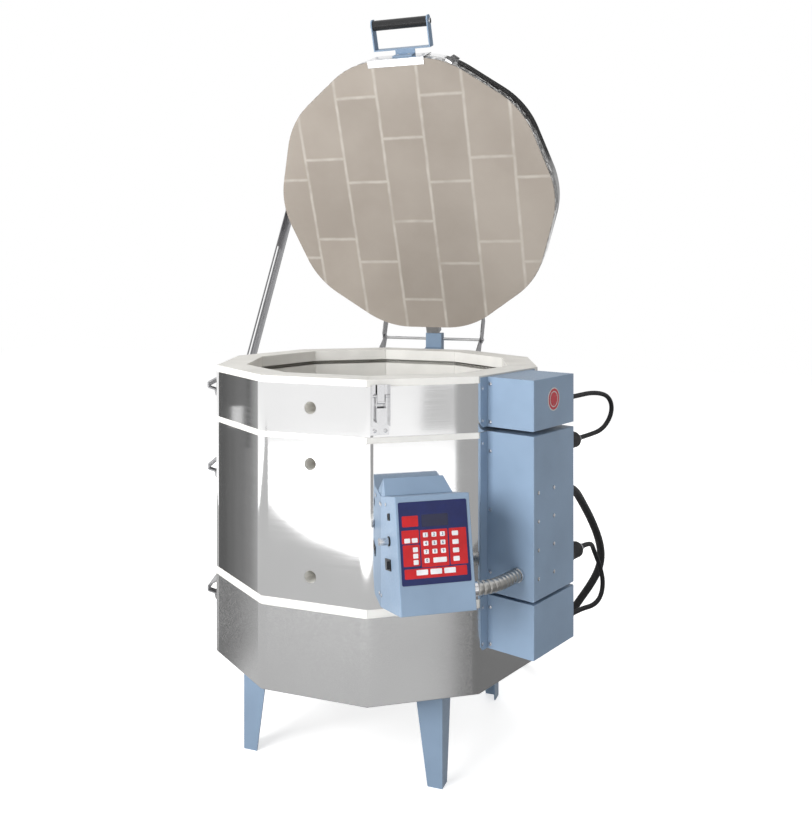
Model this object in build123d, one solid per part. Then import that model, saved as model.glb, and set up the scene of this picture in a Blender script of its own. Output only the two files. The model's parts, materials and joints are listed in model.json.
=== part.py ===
from build123d import *
import math
import os

# Sectional top-loading electric kiln: a decagonal brick chamber in polished jackets on a leg stand,
# with three electrical boxes, a tilted controller and a hinged brick lid that a slotted arm holds open.
# Origin on the floor under the chamber's axis, Z up, the front flat faces -Y. Millimetres and degrees.
# The ten flats are named by their azimuth: 0 in front, growing towards +X, the hinge on flat 180.

# Chamber and brickwork
SIDES = 10
CHAMBER_AF = 584.2  # across the flats of the firing chamber
BRICK_T = 63.5  # wall, floor slab and lid slab
COURSE_H = 114.3
LOW_COURSES = 1
MID_COURSES = 3
TOP_COURSES = 1
BRICK_JOINT = 0.5
STAND_H = 203.0  # underside of the floor slab
PAN_T = 1.5

# Polished jackets and the bare brick that shows between them
JACKET_T = 1.0
LOW_JACKET_TOP_GAP = 7.0
MID_JACKET_FOOT_GAP = 10.6
MID_JACKET_TOP_GAP = 10.5
TOP_JACKET_FOOT_GAP = 2.1
RIM_LIP = 14.1

# Element grooves and elements: one element lies in the two grooves of a course
GROOVE_RISES = (30.0, 84.3)  # middle of each groove above the foot of its course
GROOVE_H = 10.0
GROOVE_D = 13.0
ELEMENT_D = 8.0
ELEMENT_GAP = 0.3
ELEMENT_BEND = 20.0
LINK_BEND = 6.0
TAIL_D = 4.0
TAIL_T = 14.0
TAIL_OUT = 28.0  # how far the tails stand out of the jacket
LINK_T = -12.0
LINK_SLOT_W = 10.0
BUSHING_D = 12.0
BUSHING_OUT = 12.0
BUSHING_BORE_GAP = 0.35
CONNECTOR_D = 9.0
CONNECTOR_L = 16.0

# Peepholes: course counted from the chamber floor, and height above the foot of that course
PEEPHOLE_D = 25.4
PEEPHOLE_T = -6.0
PEEPHOLES = {"low": (1, 60.6), "mid": (3, 56.2), "top": (4, 53.4)}

THERMO_D = 8.0
THERMO_T = -15.0
THERMO_Z = 552.25
THERMO_IN = 22.0
THERMO_BLOCK = (34.0, 24.0, 16.0)
THERMO_BLOCK_SEAT = 0.3

# Stand
LEG_T = 3.0
LEG_HALF = 228.2  # from the axis to the outer face of each leg's flanges
LEG_TOP_W = 60.0
LEG_FOOT_W = 32.0
FRAME_DROP = 28.0
FRAME_IN = 26.0
FRAME_T = 3.0
LEG_BOLT_D = 6.0
LEG_BOLT_IN = 26.0
LEG_BOLT_DROP = 14.0

# Lid, hinge and prop arm
LID_SEAT_GAP = 2.5
LID_APOTHEM = 359.0  # outside of the lid's band
LID_CORNER_R = 206.0
LID_BAND_T = 1.0
LID_BRICK_LIP = 2.0
HINGE_OUT = 45.7  # hinge line behind the rear jacket face
HINGE_UP = 24.0  # hinge line above the rim
LID_OPEN = 68.4
ROD_D = 8.0
ROD_X = (-146.0, 143.0)
RUN_GAP = 0.05  # radial, a shaft in its hole
BODY_GAP = 0.3  # between pieces that move past each other
HINGE_ARM_T = 2.5
HINGE_ARM_X = (-141.0, 138.0)
HINGE_BOSS_R = 9.5
BRACKET_T = 2.5
BRACKET_GAP = 0.5
POST_X = (-16.0, 28.0)
POST_FRONT = 12.3  # hinge line to the post's front face
POST_TOP = 16.0  # top of the post above the hinge line
POST_FOOT_Z = 740.0
POST_BACK = 11.0
SHEET_T = 2.0
LUG_S = 22.0
LUG_X = (-12.0, 24.0)
LUG_H = 10.0

PROP_X = -388.0  # outer face of the slotted leg
PROP_T = 2.0
PROP_W = 19.0
PROP_LEG_A = 17.5
PROP_LEG_A_END = 440.0
PROP_TAIL = 27.0
PROP_HEAD = 15.0
PROP_PIVOT_S = 369.7
PROP_PIVOT_H = 31.8
PROP_STUD_Y = 42.4
PIN_D = 8.0
PIN_COLLAR_D = 13.0
PIN_HEAD_D = 14.0
PIN_HEAD_T = 3.0
SLOT_GAP = 0.3

# Handle on the lid's free edge
PLATE_X = (-71.0, 75.0)
PLATE_T = 1.5
PLATE_LIP = 18.0
HANDLE_X = 3.5
HANDLE_HALF = 74.0
HANDLE_T = 3.0
HANDLE_W = 27.0
HANDLE_OUT = 90.0
HANDLE_BAR_OUT = 16.0
HANDLE_TAB = (-14.0, 37.0)
GRIP_D = 25.4
GRIP_IN = 15.0

# Ring handles
RING_FLATS = (-72, 108)
RING_Z = (781.0, 593.0, 314.0)
RING_W = 114.0
RING_T = 3.0
RING_OUT = 34.0
RING_GRIP_W = 72.0

# Electrical boxes on flat 72
BOX_FLAT = 72
BOX_T = (-88.0, 75.0)
BOX_DEPTH = 107.8
BOX_SHEET = 1.5
BACK_T = 1.0
BACK_FLANGE_T = (-113.0, 100.0)
BACK_WALL = 15.0
BACK_WALL_GAP = 0.2
BOXES = {"top": (734.5, 835.0), "main": (401.0, 725.0), "low": (286.5, 395.0)}
BOX_SCREWS = {"top": (821.0, 744.0), "main": (685.0, 567.0, 442.0), "low": (370.5, 296.0)}
BOX_SCREW_OUT = 6.5
RELAY_ROWS = (443.5, 500.0, 556.5, 613.0)
RELAY_SCREW_T = (-71.5, -10.0)
RELAY_BODY = (46.0, 34.0, 38.0)
BADGE_T = -11.0
BADGE_Z = 791.0
BADGE_D = 47.0
SCREW_HEAD_D = 7.5
SCREW_HEAD_T = 1.8
SCREW_D = 4.0
SCREW_L = 6.0
SCREW_HOLE_GAP = 0.1

# Controller on flat 36: a case that leans back, its face given by its top edge
CTL_FLAT = 36
CTL_T = (-88.0, 57.3)
CTL_TOP_R = 457.2
CTL_TOP_Z = 632.4
CTL_FACE_H = 211.3
CTL_LEAN = 12.1
CTL_SHEET = 1.5
HOOD_T_TOP = (-83.0, 39.0)
HOOD_T_LOW = (-88.0, 54.0)
HOOD_TOP_Z = 645.0
HOOD_DEPTH = 26.0
HOOD_SEAT = 0.3
PAD_X = (-82.9, 50.3)
PAD_Y = (-158.5, -10.6)
PAD_T = 0.8
KEY_T = 0.5

# Flexible metal conduit from the controller to the main box
CONDUIT_Z = 449.5
CONDUIT_D = 27.0
CONDUIT_ROOT_D = 23.6
CONDUIT_BORE = 19.0
CONDUIT_RIBS = 10
CONDUIT_CTL_R = 455.0
CONDUIT_BOX_R = 430.0
FITTING_D = 29.0
FITTING_CTL_L = 16.0
FITTING_BOX_L = 8.0
CONDUIT_BEND = 95.0

# Cords. A route is the list of corners (x, y, z) between the straight ends of a cord
JUMPER_D = 10.0
STRAIGHT_END = 42.0  # first and last run of a cord, square to the wall
LEVEL_END = 62.0  # last run of the supply cord, level on the floor
SUPPLY_D = 18.0
UP_PLUG = (440.0, 688.0)  # r and z on the boxes' right walls
UP_GLAND = (440.0, 780.0)
LOW_PLUG = (445.0, 454.0)
LOW_GLAND = (445.0, 321.0)
SUPPLY_GLAND = (415.0, 576.0)
SOCKET_D = 40.0
SOCKET_L = 6.0
PLUG_D = 34.0
PLUG_L = 45.0
COLLAR_D = 24.0
COLLAR_L = 8.0
RELIEF_L = 16.0
GLAND_OVER_D = 12.0  # gland's diameter over its cord's
GLAND_L = 6.0
SUPPLY_RELIEF_L = 27.0
UP_ROUTE = [(485, 45, 782), (507, 88, 774), (517, 108, 757), (518, 116, 734), (511, 110, 711), (498, 88, 693)]
LOW_ROUTE = [(484, 75, 428), (495, 91, 390), (503, 87, 359), (502, 68, 332), (491, 40, 318)]
SUPPLY_ROUTE = [(448, 49, 563), (455, 100, 525), (467, 153, 474), (477, 199, 419), (478, 234, 371)]
SUPPLY_ROUTE += [(468, 259, 329), (445, 285, 282), (406, 314, 220), (368, 341, 154), (328, 368, 93)]
SUPPLY_ROUTE += [(290, 397, 46), (257, 423, 19)]
COIL_START = (185, 484)  # where the supply cord meets its coil on the floor
COIL_HEADING = 139.0
COIL_OUTER_R = 118.0
COIL_STEP = 6.0  # each quarter turn is this much tighter
COIL_QUARTERS = 4
COIL_END_R = 60.0
COIL_END_TURN = 135.0
COIL_STRAIGHT = 20.0
FLOOR_GAP = 0.3
SUPPLY_PLUG = (48.0, 46.0, 30.0)
SUPPLY_NECK_L = 16.0
BLADE = (20.0, 1.6, 9.0)
BLADE_SPREAD = 11.0

# Latch on flat 36: base, over-centre lever and the bail that it pulls down
LATCH_T = -90.0
LATCH_W = 38.0
LATCH_BASE_Z = (729.5, 828.0)
LATCH_RAIL_Z = (748.0, 828.0)
LATCH_RAIL_H = 12.0
LATCH_T_SHEET = 1.5
LEVER_W = 20.0
LEVER_Z = (752.0, 822.0)
LEVER_PIVOT_Z = 806.0
LEVER_PIVOT_OUT = 8.0
BAIL_DROP = 12.0
BAIL_W = 15.0
BAIL_TOP_Z = 829.0

# Controls and screws on the controller's left wall, as distance back from the face and down from its top edge
CTL_SCREWS = ((66.2, 14.9), (101.0, 15.8), (135.5, 188.0))
ROCKER_AT = (70.0, 125.5)
ROCKER_SIZE = (34.0, 18.0)
ROCKER_BEZEL = 2.0
ROCKER_TILT = 8.0
ROCKER_RISE = 5.0
ROCKER_PIN_D = 2.4
FUSE_AT = (55.6, 82.0)
FUSE_D = 14.0
FUSE_L = 18.0
PORT_AT = (48.5, 37.4)
PORT_SIZE = 13.0

HALF_TURN = 180.0 / SIDES
HALF_RAD = math.radians(HALF_TURN)
INNER = CHAMBER_AF / 2
OUTER = INNER + BRICK_T
JACKET = OUTER + JACKET_T
SLAB_TOP = STAND_H + BRICK_T
LOW_TOP = SLAB_TOP + LOW_COURSES * COURSE_H
MID_TOP = LOW_TOP + MID_COURSES * COURSE_H
RIM = MID_TOP + TOP_COURSES * COURSE_H
HINGE_Y = JACKET + HINGE_OUT
HINGE_Z = RIM + HINGE_UP
LID_UNDER = RIM + LID_SEAT_GAP - HINGE_Z
LID_OVER = LID_UNDER + BRICK_T
BACK_R = JACKET + BACK_T
BOX_R = BACK_R + BOX_DEPTH
GROOVE_BACK = INNER + GROOVE_D
LOOP_R = GROOVE_BACK - ELEMENT_D / 2 - ELEMENT_GAP
COURSES = LOW_COURSES + MID_COURSES + TOP_COURSES


def course_foot(course):
    return SLAB_TOP + course * COURSE_H


# Places on the kiln: az points out of a flat, tan runs along it towards the next flat
def az(flat):
    turn = math.radians(flat)
    return Vector(math.sin(turn), -math.cos(turn), 0)


def tan(flat):
    turn = math.radians(flat)
    return Vector(math.cos(turn), math.sin(turn), 0)


def at(flat, t, r, z):
    return az(flat) * r + tan(flat) * t + Vector(0, 0, z)


def on_flat(flat, t, r, z):
    """Plane on a flat with X along it, Y up and Z outwards."""
    return Plane(origin=at(flat, t, r, z), x_dir=tan(flat), z_dir=az(flat))


def block(flat, t, r, z):
    """Box between two values of each of t, r and z."""
    middle = on_flat(flat, sum(t) / 2, sum(r) / 2, sum(z) / 2)
    return middle * Box(t[1] - t[0], z[1] - z[0], r[1] - r[0])


def round_out(flat, t, z, r, diameter):
    """Cylinder that points out of a flat, between two values of r."""
    return on_flat(flat, t, sum(r) / 2, z) * Cylinder(diameter / 2, r[1] - r[0])


def round_along(start, way, length, diameter):
    return Plane(origin=start, z_dir=way) * Cylinder(
        diameter / 2, length, align=(Align.CENTER, Align.CENTER, Align.MIN)
    )


def cone_along(start, way, length, d_start, d_end):
    return Plane(origin=start, z_dir=way) * Cone(
        d_start / 2, d_end / 2, length, align=(Align.CENTER, Align.CENTER, Align.MIN)
    )


def bar_x(x, y, z, diameter):
    """Cylinder along X between two values of x."""
    return Plane(origin=(sum(x) / 2, y, z), z_dir=(1, 0, 0)) * Cylinder(diameter / 2, x[1] - x[0])


def prism(apothem, z):
    outline = RegularPolygon(apothem / math.cos(HALF_RAD), SIDES)
    return Pos(0, 0, z[0]) * extrude(outline, z[1] - z[0])


def slab_x(points, x):
    """Plate across X between two values of x, its outline given as (y, z)."""
    face = make_face(Polyline(*[(x[0], y, z) for y, z in points], close=True))
    return extrude(face, x[1] - x[0], dir=(1, 0, 0))


def profile_along(flat, points, t):
    """Plate along a flat between two values of t, its outline given as (r, z)."""
    face = make_face(Polyline(*[at(flat, t[0], r, z) for r, z in points], close=True))
    return extrude(face, t[1] - t[0], dir=tan(flat))


def group(pieces):
    solids = [solid for piece in pieces for solid in piece.solids()]
    return Compound(children=solids) if len(solids) > 1 else solids[0]


# Closed lid coordinates: s from the hinge line towards the free edge, h above the hinge line
def lid_box(s, x, h):
    y = (HINGE_Y - s[1], HINGE_Y - s[0])
    middle = (sum(x) / 2, sum(y) / 2, HINGE_Z + sum(h) / 2)
    return Pos(*middle) * Box(x[1] - x[0], y[1] - y[0], h[1] - h[0])


def open_lid(piece):
    return piece.rotate(Axis((0, HINGE_Y, HINGE_Z), (1, 0, 0)), -LID_OPEN)


def lid_point(s, h):
    """(y, z) of a lid point while the lid stands open."""
    turn = math.radians(LID_OPEN)
    y = HINGE_Y - s * math.cos(turn) + h * math.sin(turn)
    return y, HINGE_Z + s * math.sin(turn) + h * math.cos(turn)


def screw(plane, length=SCREW_L):
    head = plane * Pos(0, 0, SCREW_HEAD_T / 2) * Cylinder(SCREW_HEAD_D / 2, SCREW_HEAD_T)
    shank = plane * Pos(0, 0, -length / 2) * Cylinder(SCREW_D / 2, length)
    return head + shank


def screw_hole(plane, length=SCREW_L):
    depth = length + 2
    return plane * Pos(0, 0, -length / 2) * Cylinder(SCREW_D / 2 + SCREW_HOLE_GAP, depth)


parts = {}

# Brickwork
def loop_heights(course):
    """Middle of the element tube in the lower and the upper groove of a course."""
    seat = ELEMENT_D / 2 + ELEMENT_GAP - GROOVE_H / 2
    return [course_foot(course) + rise + seat for rise in GROOVE_RISES]


def wall_cuts(flat):
    """What passes through the bricks and the jacket of a flat."""
    through = (INNER - 1, JACKET + 1)
    if flat == 0:
        heights = [course_foot(course) + rise for course, rise in PEEPHOLES.values()]
        return [round_out(0, PEEPHOLE_T, z, through, PEEPHOLE_D) for z in heights]
    if flat == CTL_FLAT:
        return [round_out(CTL_FLAT, THERMO_T, THERMO_Z, through, THERMO_D + 2 * THERMO_BLOCK_SEAT)]
    if flat == BOX_FLAT:
        hole = BUSHING_D + 2 * BUSHING_BORE_GAP
        heights = [z for course in range(COURSES) for z in loop_heights(course)]
        return [round_out(BOX_FLAT, TAIL_T, z, (GROOVE_BACK - 1, JACKET + 1), hole) for z in heights]
    return []


def brick(flat, course):
    foot = course_foot(course)
    outline = []
    for r, side in ((INNER, -1), (INNER, 1), (OUTER, 1), (OUTER, -1)):
        half = r * math.tan(HALF_RAD) - BRICK_JOINT / 2
        outline.append((side * half, -r))
    plan = Plane(origin=(0, 0, foot), x_dir=tan(flat), z_dir=(0, 0, 1))
    solid = extrude(plan * make_face(Polyline(*outline, close=True)), COURSE_H, dir=(0, 0, 1))
    for rise in GROOVE_RISES:
        groove = (foot + rise - GROOVE_H / 2, foot + rise + GROOVE_H / 2)
        solid -= block(flat, (-OUTER, OUTER), (INNER - 1, GROOVE_BACK), groove)
    if flat == BOX_FLAT:
        slot = (LINK_T - LINK_SLOT_W / 2, LINK_T + LINK_SLOT_W / 2)
        rises = (foot + GROOVE_RISES[0], foot + GROOVE_RISES[1])
        solid -= block(flat, slot, (INNER - 1, GROOVE_BACK), rises)
    for cut in wall_cuts(flat):
        if cut.bounding_box().max.Z > foot and cut.bounding_box().min.Z < foot + COURSE_H:
            solid -= cut
    return solid


def brick_ring(first, count):
    flats = [2 * HALF_TURN * k for k in range(SIDES)]
    return group([brick(flat, course) for course in range(first, first + count) for flat in flats])


parts["bricks_low"] = brick_ring(0, LOW_COURSES)
parts["bricks_mid"] = brick_ring(LOW_COURSES, MID_COURSES)
parts["bricks_top"] = brick_ring(LOW_COURSES + MID_COURSES, TOP_COURSES)
parts["floor_slab"] = prism(OUTER, (STAND_H, SLAB_TOP))
parts["bottom_pan"] = prism(OUTER, (STAND_H - PAN_T, STAND_H))

# Elements: two turns of the chamber joined by a link, with both tails out through flat 72
def element(course):
    low, up = loop_heights(course)
    corner_r = LOOP_R / math.cos(HALF_RAD)
    corners = [az(BOX_FLAT + HALF_TURN + 2 * HALF_TURN * k) * corner_r for k in range(SIDES)]
    start = TAIL_T - ELEMENT_D / 2
    route = [at(BOX_FLAT, start, LOOP_R, up)]
    route += [corner + Vector(0, 0, up) for corner in corners]
    route.append(at(BOX_FLAT, LINK_T, LOOP_R, up))
    route.append(at(BOX_FLAT, LINK_T, LOOP_R, low))
    route += [corner + Vector(0, 0, low) for corner in reversed(corners)]
    route.append(at(BOX_FLAT, start, LOOP_R, low))
    bends = [ELEMENT_BEND] * SIDES + [LINK_BEND] * 2 + [ELEMENT_BEND] * SIDES
    path = FilletPolyline(*route, radius=bends)
    tube = sweep(Plane(origin=route[0], z_dir=tan(BOX_FLAT)) * Circle(ELEMENT_D / 2), path=path)
    for z in (low, up):
        tube += round_out(BOX_FLAT, TAIL_T, z, (LOOP_R, JACKET + TAIL_OUT), TAIL_D)
    return tube


bushings, connectors = [], []
parts["elements"] = group([element(course) for course in range(COURSES)])
for course in range(COURSES):
    for z in loop_heights(course):
        reach = (GROOVE_BACK + ELEMENT_GAP, JACKET + BUSHING_OUT)
        bushing = round_out(BOX_FLAT, TAIL_T, z, reach, BUSHING_D)
        bushings.append(bushing - round_out(BOX_FLAT, TAIL_T, z, reach, TAIL_D + 2 * ELEMENT_GAP))
        barrel = (JACKET + TAIL_OUT - CONNECTOR_L, JACKET + TAIL_OUT - 1)
        clamp = round_out(BOX_FLAT, TAIL_T, z, barrel, CONNECTOR_D)
        connectors.append(clamp - round_out(BOX_FLAT, TAIL_T, z, barrel, TAIL_D + 2 * RUN_GAP))
parts["element_bushings"] = group(bushings)
parts["element_connectors"] = group(connectors)

wide, tall, deep = THERMO_BLOCK
probe = round_out(CTL_FLAT, THERMO_T, THERMO_Z, (INNER - THERMO_IN, JACKET + 2), THERMO_D)
head_t = (THERMO_T - wide / 2, THERMO_T + wide / 2)
head_z = (THERMO_Z - tall / 2, THERMO_Z + tall / 2)
parts["thermocouple"] = probe + block(CTL_FLAT, head_t, (JACKET, JACKET + deep), head_z)

# Screws through a sheet and the jacket: (plane on the sheet's face, length of shank)
jacket_screws = []


def fix_to_jacket(plane, sheet):
    jacket_screws.append((plane, sheet + JACKET_T))


# Stand: a square angle-iron frame on four tapered angle legs
frame_top = STAND_H - PAN_T
frame_half = LEG_HALF - LEG_T
frame = Pos(0, 0, frame_top - FRAME_DROP / 2) * Box(2 * frame_half, 2 * frame_half, FRAME_DROP)
inside = 2 * (frame_half - FRAME_T)
frame -= Pos(0, 0, frame_top - FRAME_T - FRAME_DROP / 2) * Box(inside, inside, FRAME_DROP)
well = 2 * (frame_half - FRAME_IN)
frame -= Pos(0, 0, frame_top - FRAME_DROP / 2) * Box(well, well, 2 * FRAME_DROP)

outline = [(LEG_HALF, 0), (LEG_HALF, frame_top)]
outline += [(LEG_HALF - LEG_TOP_W, frame_top), (LEG_HALF - LEG_FOOT_W, 0)]
side_flange = slab_x(outline, (LEG_HALF - LEG_T, LEG_HALF))
front_flange = extrude(
    make_face(Polyline(*[(x, LEG_HALF - LEG_T, z) for x, z in outline], close=True)), LEG_T, dir=(0, 1, 0)
)
leg = side_flange + front_flange


def bolt(axis_way, place):
    """Hex bolt, washerless, through a leg and the frame; place is on the leg's outer face."""
    head = Plane(origin=place, z_dir=axis_way) * extrude(RegularPolygon(5.8, 6), 4)
    shank = Plane(origin=place, z_dir=axis_way) * Pos(0, 0, -7) * Cylinder(LEG_BOLT_D / 2, 14)
    inner = place - Vector(axis_way) * (LEG_T + FRAME_T)
    nut = Plane(origin=inner, z_dir=axis_way) * Pos(0, 0, -5) * extrude(RegularPolygon(5.8, 6), 5)
    return head + shank + nut


def bolt_hole(axis_way, place):
    return Plane(origin=place, z_dir=axis_way) * Cylinder(LEG_BOLT_D / 2 + SCREW_HOLE_GAP, 16)


bolts, legs = [], []
for x_side, y_side in ((-1, -1), (1, -1), (-1, 1), (1, 1)):
    this = leg if x_side > 0 else leg.mirror(Plane.YZ)
    this = this if y_side > 0 else this.mirror(Plane.XZ)
    bolt_z = frame_top - LEG_BOLT_DROP
    inset = LEG_HALF - LEG_BOLT_IN
    for way, place in (
        ((x_side, 0, 0), Vector(x_side * LEG_HALF, y_side * inset, bolt_z)),
        ((0, y_side, 0), Vector(x_side * inset, y_side * LEG_HALF, bolt_z)),
    ):
        this -= bolt_hole(way, place)
        frame -= bolt_hole(way, place)
        bolts.append(bolt(way, place))
    legs.append(this)
parts["legs"] = group(legs)
parts["stand_frame"] = frame
parts["stand_bolts"] = group(bolts)

# Lid, modelled closed and turned open at the end
lid = {}


def lid_outline(apothem):
    sharp = RegularPolygon(apothem / math.cos(HALF_RAD), SIDES)
    return fillet(sharp.vertices(), LID_CORNER_R - (LID_APOTHEM - apothem))


slab = extrude(lid_outline(LID_APOTHEM - LID_BAND_T), BRICK_T)
lid["lid_slab"] = Pos(0, 0, RIM + LID_SEAT_GAP) * slab
band = extrude(lid_outline(LID_APOTHEM) - lid_outline(LID_APOTHEM - LID_BAND_T), BRICK_T - LID_BRICK_LIP)
lid["lid_band"] = Pos(0, 0, RIM + LID_SEAT_GAP + LID_BRICK_LIP) * band

free_edge = HINGE_Y + LID_APOTHEM
plate_out = free_edge + PLATE_T
lip_h = (LID_UNDER - PLATE_T, LID_UNDER)
edge_plate = lid_box((free_edge, plate_out), PLATE_X, (lip_h[0], LID_OVER))
lid["handle_plate"] = edge_plate + lid_box((plate_out - PLATE_LIP, plate_out), PLATE_X, lip_h)

left_x, right_x = HANDLE_X - HANDLE_HALF, HANDLE_X + HANDLE_HALF
bar_s = plate_out + HANDLE_BAR_OUT - HANDLE_T
low_h = LID_OVER - 10
wide_h = (low_h, low_h + HANDLE_W)
bracket = lid_box((bar_s, bar_s + HANDLE_T), (left_x, right_x), wide_h)
for x in ((left_x, left_x + HANDLE_T), (right_x - HANDLE_T, right_x)):
    bracket += lid_box((bar_s, plate_out + HANDLE_OUT), x, wide_h)
bracket += lid_box((plate_out, bar_s + HANDLE_T), HANDLE_TAB, (low_h, low_h + HANDLE_T))
bracket += lid_box((plate_out, plate_out + HANDLE_T), HANDLE_TAB, (low_h - 28, low_h + HANDLE_T))
grip_s = plate_out + HANDLE_OUT - GRIP_IN
grip_h = low_h + HANDLE_W / 2
grip_y, grip_z = HINGE_Y - grip_s, HINGE_Z + grip_h
bolt_x = (left_x - 4, right_x + 4)
bracket -= bar_x(bolt_x, grip_y, grip_z, PIN_D + 2 * RUN_GAP)
bracket = fillet(bracket.edges().filter_by(Axis.X).group_by(Axis.Y)[0], 10)
handle_screws = []
for x in (HANDLE_TAB[0] + 11, HANDLE_TAB[1] - 11):
    spot = Plane(origin=(x, -LID_APOTHEM - PLATE_T - HANDLE_T, HINGE_Z + low_h - 16), z_dir=(0, -1, 0))
    handle_screws.append(screw(spot, HANDLE_T + PLATE_T))
    bracket -= screw_hole(spot)
    lid["handle_plate"] -= screw_hole(spot)
for x in (PLATE_X[0] + 12, PLATE_X[1] - 12):
    spot = Plane(origin=(x, -LID_APOTHEM - PLATE_T, HINGE_Z + low_h - 16), z_dir=(0, -1, 0))
    handle_screws.append(screw(spot, PLATE_T))
    lid["handle_plate"] -= screw_hole(spot)
lid["handle_bracket"] = bracket
inner_x = (left_x + HANDLE_T, right_x - HANDLE_T)
grip = bar_x(inner_x, grip_y, grip_z, GRIP_D)
grip = fillet(grip.edges().filter_by(GeomType.CIRCLE), 2)
lid["handle_grip"] = grip - bar_x(bolt_x, grip_y, grip_z, PIN_D + 2 * RUN_GAP)
grip_bolt = bar_x(bolt_x, grip_y, grip_z, PIN_D)
for x in ((left_x - 4, left_x), (right_x, right_x + 4)):
    grip_bolt += bar_x(x, grip_y, grip_z, PIN_HEAD_D)
lid["handle_bolt"] = grip_bolt

# Hinge: lid arms turn on a rod held by two jacket brackets and the middle post
def boss(x):
    return bar_x(x, HINGE_Y, HINGE_Z, 2 * HINGE_BOSS_R)


rod_clear = bar_x((ROD_X[0] - 5, ROD_X[1] + 5), HINGE_Y, HINGE_Z, ROD_D + 2 * RUN_GAP)
lid_screws, arms, brackets = [], [], []
for arm_x in HINGE_ARM_X:
    sign = math.copysign(1, arm_x)
    web_x = (arm_x - HINGE_ARM_T / 2, arm_x + HINGE_ARM_T / 2)
    outer_flat = JACKET - math.sin(2 * HALF_RAD) * (abs(arm_x) + HINGE_ARM_T)
    lid_edge = HINGE_Y - outer_flat / math.cos(2 * HALF_RAD) - 5
    top_h = LID_OVER + HINGE_ARM_T
    shape = [(-2, -HINGE_BOSS_R), (18, -HINGE_BOSS_R), (lid_edge, top_h - 16)]
    shape += [(lid_edge, top_h), (34, top_h), (-7, 6)]
    arm = boss(web_x) + slab_x([(HINGE_Y - s, HINGE_Z + h) for s, h in shape], web_x)
    flange_x = sorted((arm_x + sign * HINGE_ARM_T / 2, arm_x - sign * 23))
    flange = lid_box((lid_edge - 14, lid_edge + 134), flange_x, (LID_OVER, top_h))
    arm += flange
    for s in (lid_edge + 26, lid_edge + 70, lid_edge + 114):
        spot = Plane(origin=(arm_x - sign * 12, HINGE_Y - s, HINGE_Z + top_h), z_dir=(0, 0, 1))
        arm -= screw_hole(spot)
        lid_screws.append(screw(spot, HINGE_ARM_T))
    arms.append(arm - rod_clear)

    # Jacket bracket on the flat beside the rear one
    flat = sign * (180 - 2 * HALF_TURN)
    near = abs(arm_x) - HINGE_ARM_T / 2 - BRACKET_GAP
    web_x = sorted((sign * near, sign * (near - BRACKET_T)))
    seat_y = (JACKET - math.sin(2 * HALF_RAD) * (near - BRACKET_T)) / math.cos(2 * HALF_RAD)
    top_z = RIM - RIM_LIP - 2
    foot_z = POST_FOOT_Z + 5
    shape = [(HINGE_Y + HINGE_BOSS_R - 1, HINGE_Z - 4), (seat_y + 12, foot_z), (seat_y, foot_z)]
    shape += [(seat_y, top_z), (seat_y + 10, RIM - 4), (HINGE_Y - 6, HINGE_Z + 7)]
    web = boss(web_x) + slab_x(shape, web_x)
    edge_t = near * math.cos(math.radians(flat)) * sign + seat_y * math.sin(math.radians(flat))
    flange_t = sorted((edge_t, edge_t - sign * 36))
    bracket = web + block(flat, flange_t, (JACKET, JACKET + BRACKET_T), (foot_z, top_z))
    for z in (foot_z + 16, top_z - 16):
        spot = on_flat(flat, edge_t - sign * 24, JACKET + BRACKET_T, z)
        bracket -= screw_hole(spot)
        fix_to_jacket(spot, BRACKET_T)
    brackets.append(bracket - rod_clear - prism(JACKET, (0, RIM)))
parts["hinge_brackets"] = group(brackets)
lid["lid_screws"] = group(lid_screws + handle_screws)

post_front, post_back = HINGE_Y - POST_FRONT, HINGE_Y + POST_BACK
post_top = HINGE_Z + POST_TOP
shape = [(JACKET, POST_FOOT_Z), (JACKET + 12, POST_FOOT_Z), (post_back, RIM - 36), (post_back, post_top)]
shape += [(post_front, post_top), (post_front, RIM + 2), (JACKET + 16, RIM - 4), (JACKET, RIM - 4)]
post = slab_x(shape, POST_X)
hollow = [(JACKET - 1, POST_FOOT_Z + 4), (JACKET + 10, POST_FOOT_Z + 4), (post_back - SHEET_T, RIM - 35)]
hollow += [(post_back - SHEET_T, post_top - SHEET_T), (post_front + SHEET_T, post_top - SHEET_T)]
hollow += [(post_front + SHEET_T, RIM + 1), (JACKET + 16, RIM - 6), (JACKET - 1, RIM - 6)]
post -= slab_x(hollow, (POST_X[0] + SHEET_T, POST_X[1] - SHEET_T))
for tab_x in ((POST_X[0] - 20, POST_X[0] + SHEET_T), (POST_X[1] - SHEET_T, POST_X[1] + 20)):
    tab_t = (-tab_x[1], -tab_x[0])
    post += block(180, tab_t, (JACKET, JACKET + SHEET_T), (POST_FOOT_Z, RIM - RIM_LIP - 2))
    screw_t = sum(tab_t) / 2 + (2 if tab_x[0] < 0 else -2)
    for z in (POST_FOOT_Z + 14, RIM - RIM_LIP - 16):
        spot = on_flat(180, screw_t, JACKET + SHEET_T, z)
        post -= screw_hole(spot)
        fix_to_jacket(spot, SHEET_T)
parts["hinge_post"] = post - rod_clear
parts["hinge_rod"] = bar_x(ROD_X, HINGE_Y, HINGE_Z, ROD_D)
arms.append(lid_box((LUG_S, HINGE_Y - LID_APOTHEM), LUG_X, (-LUG_H, LUG_H)))
lid["hinge_arms"] = group(arms)

# Prop arm: a slotted angle from the lid to a stud on the body. Both pivots lie on one circle about
# the hinge, so that the arm turns by half of what the lid turns and its slot always runs over the stud.
collar_end = PROP_X + PROP_T + BODY_GAP
head_x = (PROP_X - BODY_GAP - PIN_HEAD_T, PROP_X - BODY_GAP)


def prop_pin(y, z, root):
    pin = bar_x((collar_end, root), y, z, PIN_COLLAR_D)
    pin += bar_x((head_x[0], collar_end), y, z, PIN_D)
    return pin + bar_x(head_x, y, z, PIN_HEAD_D)


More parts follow.
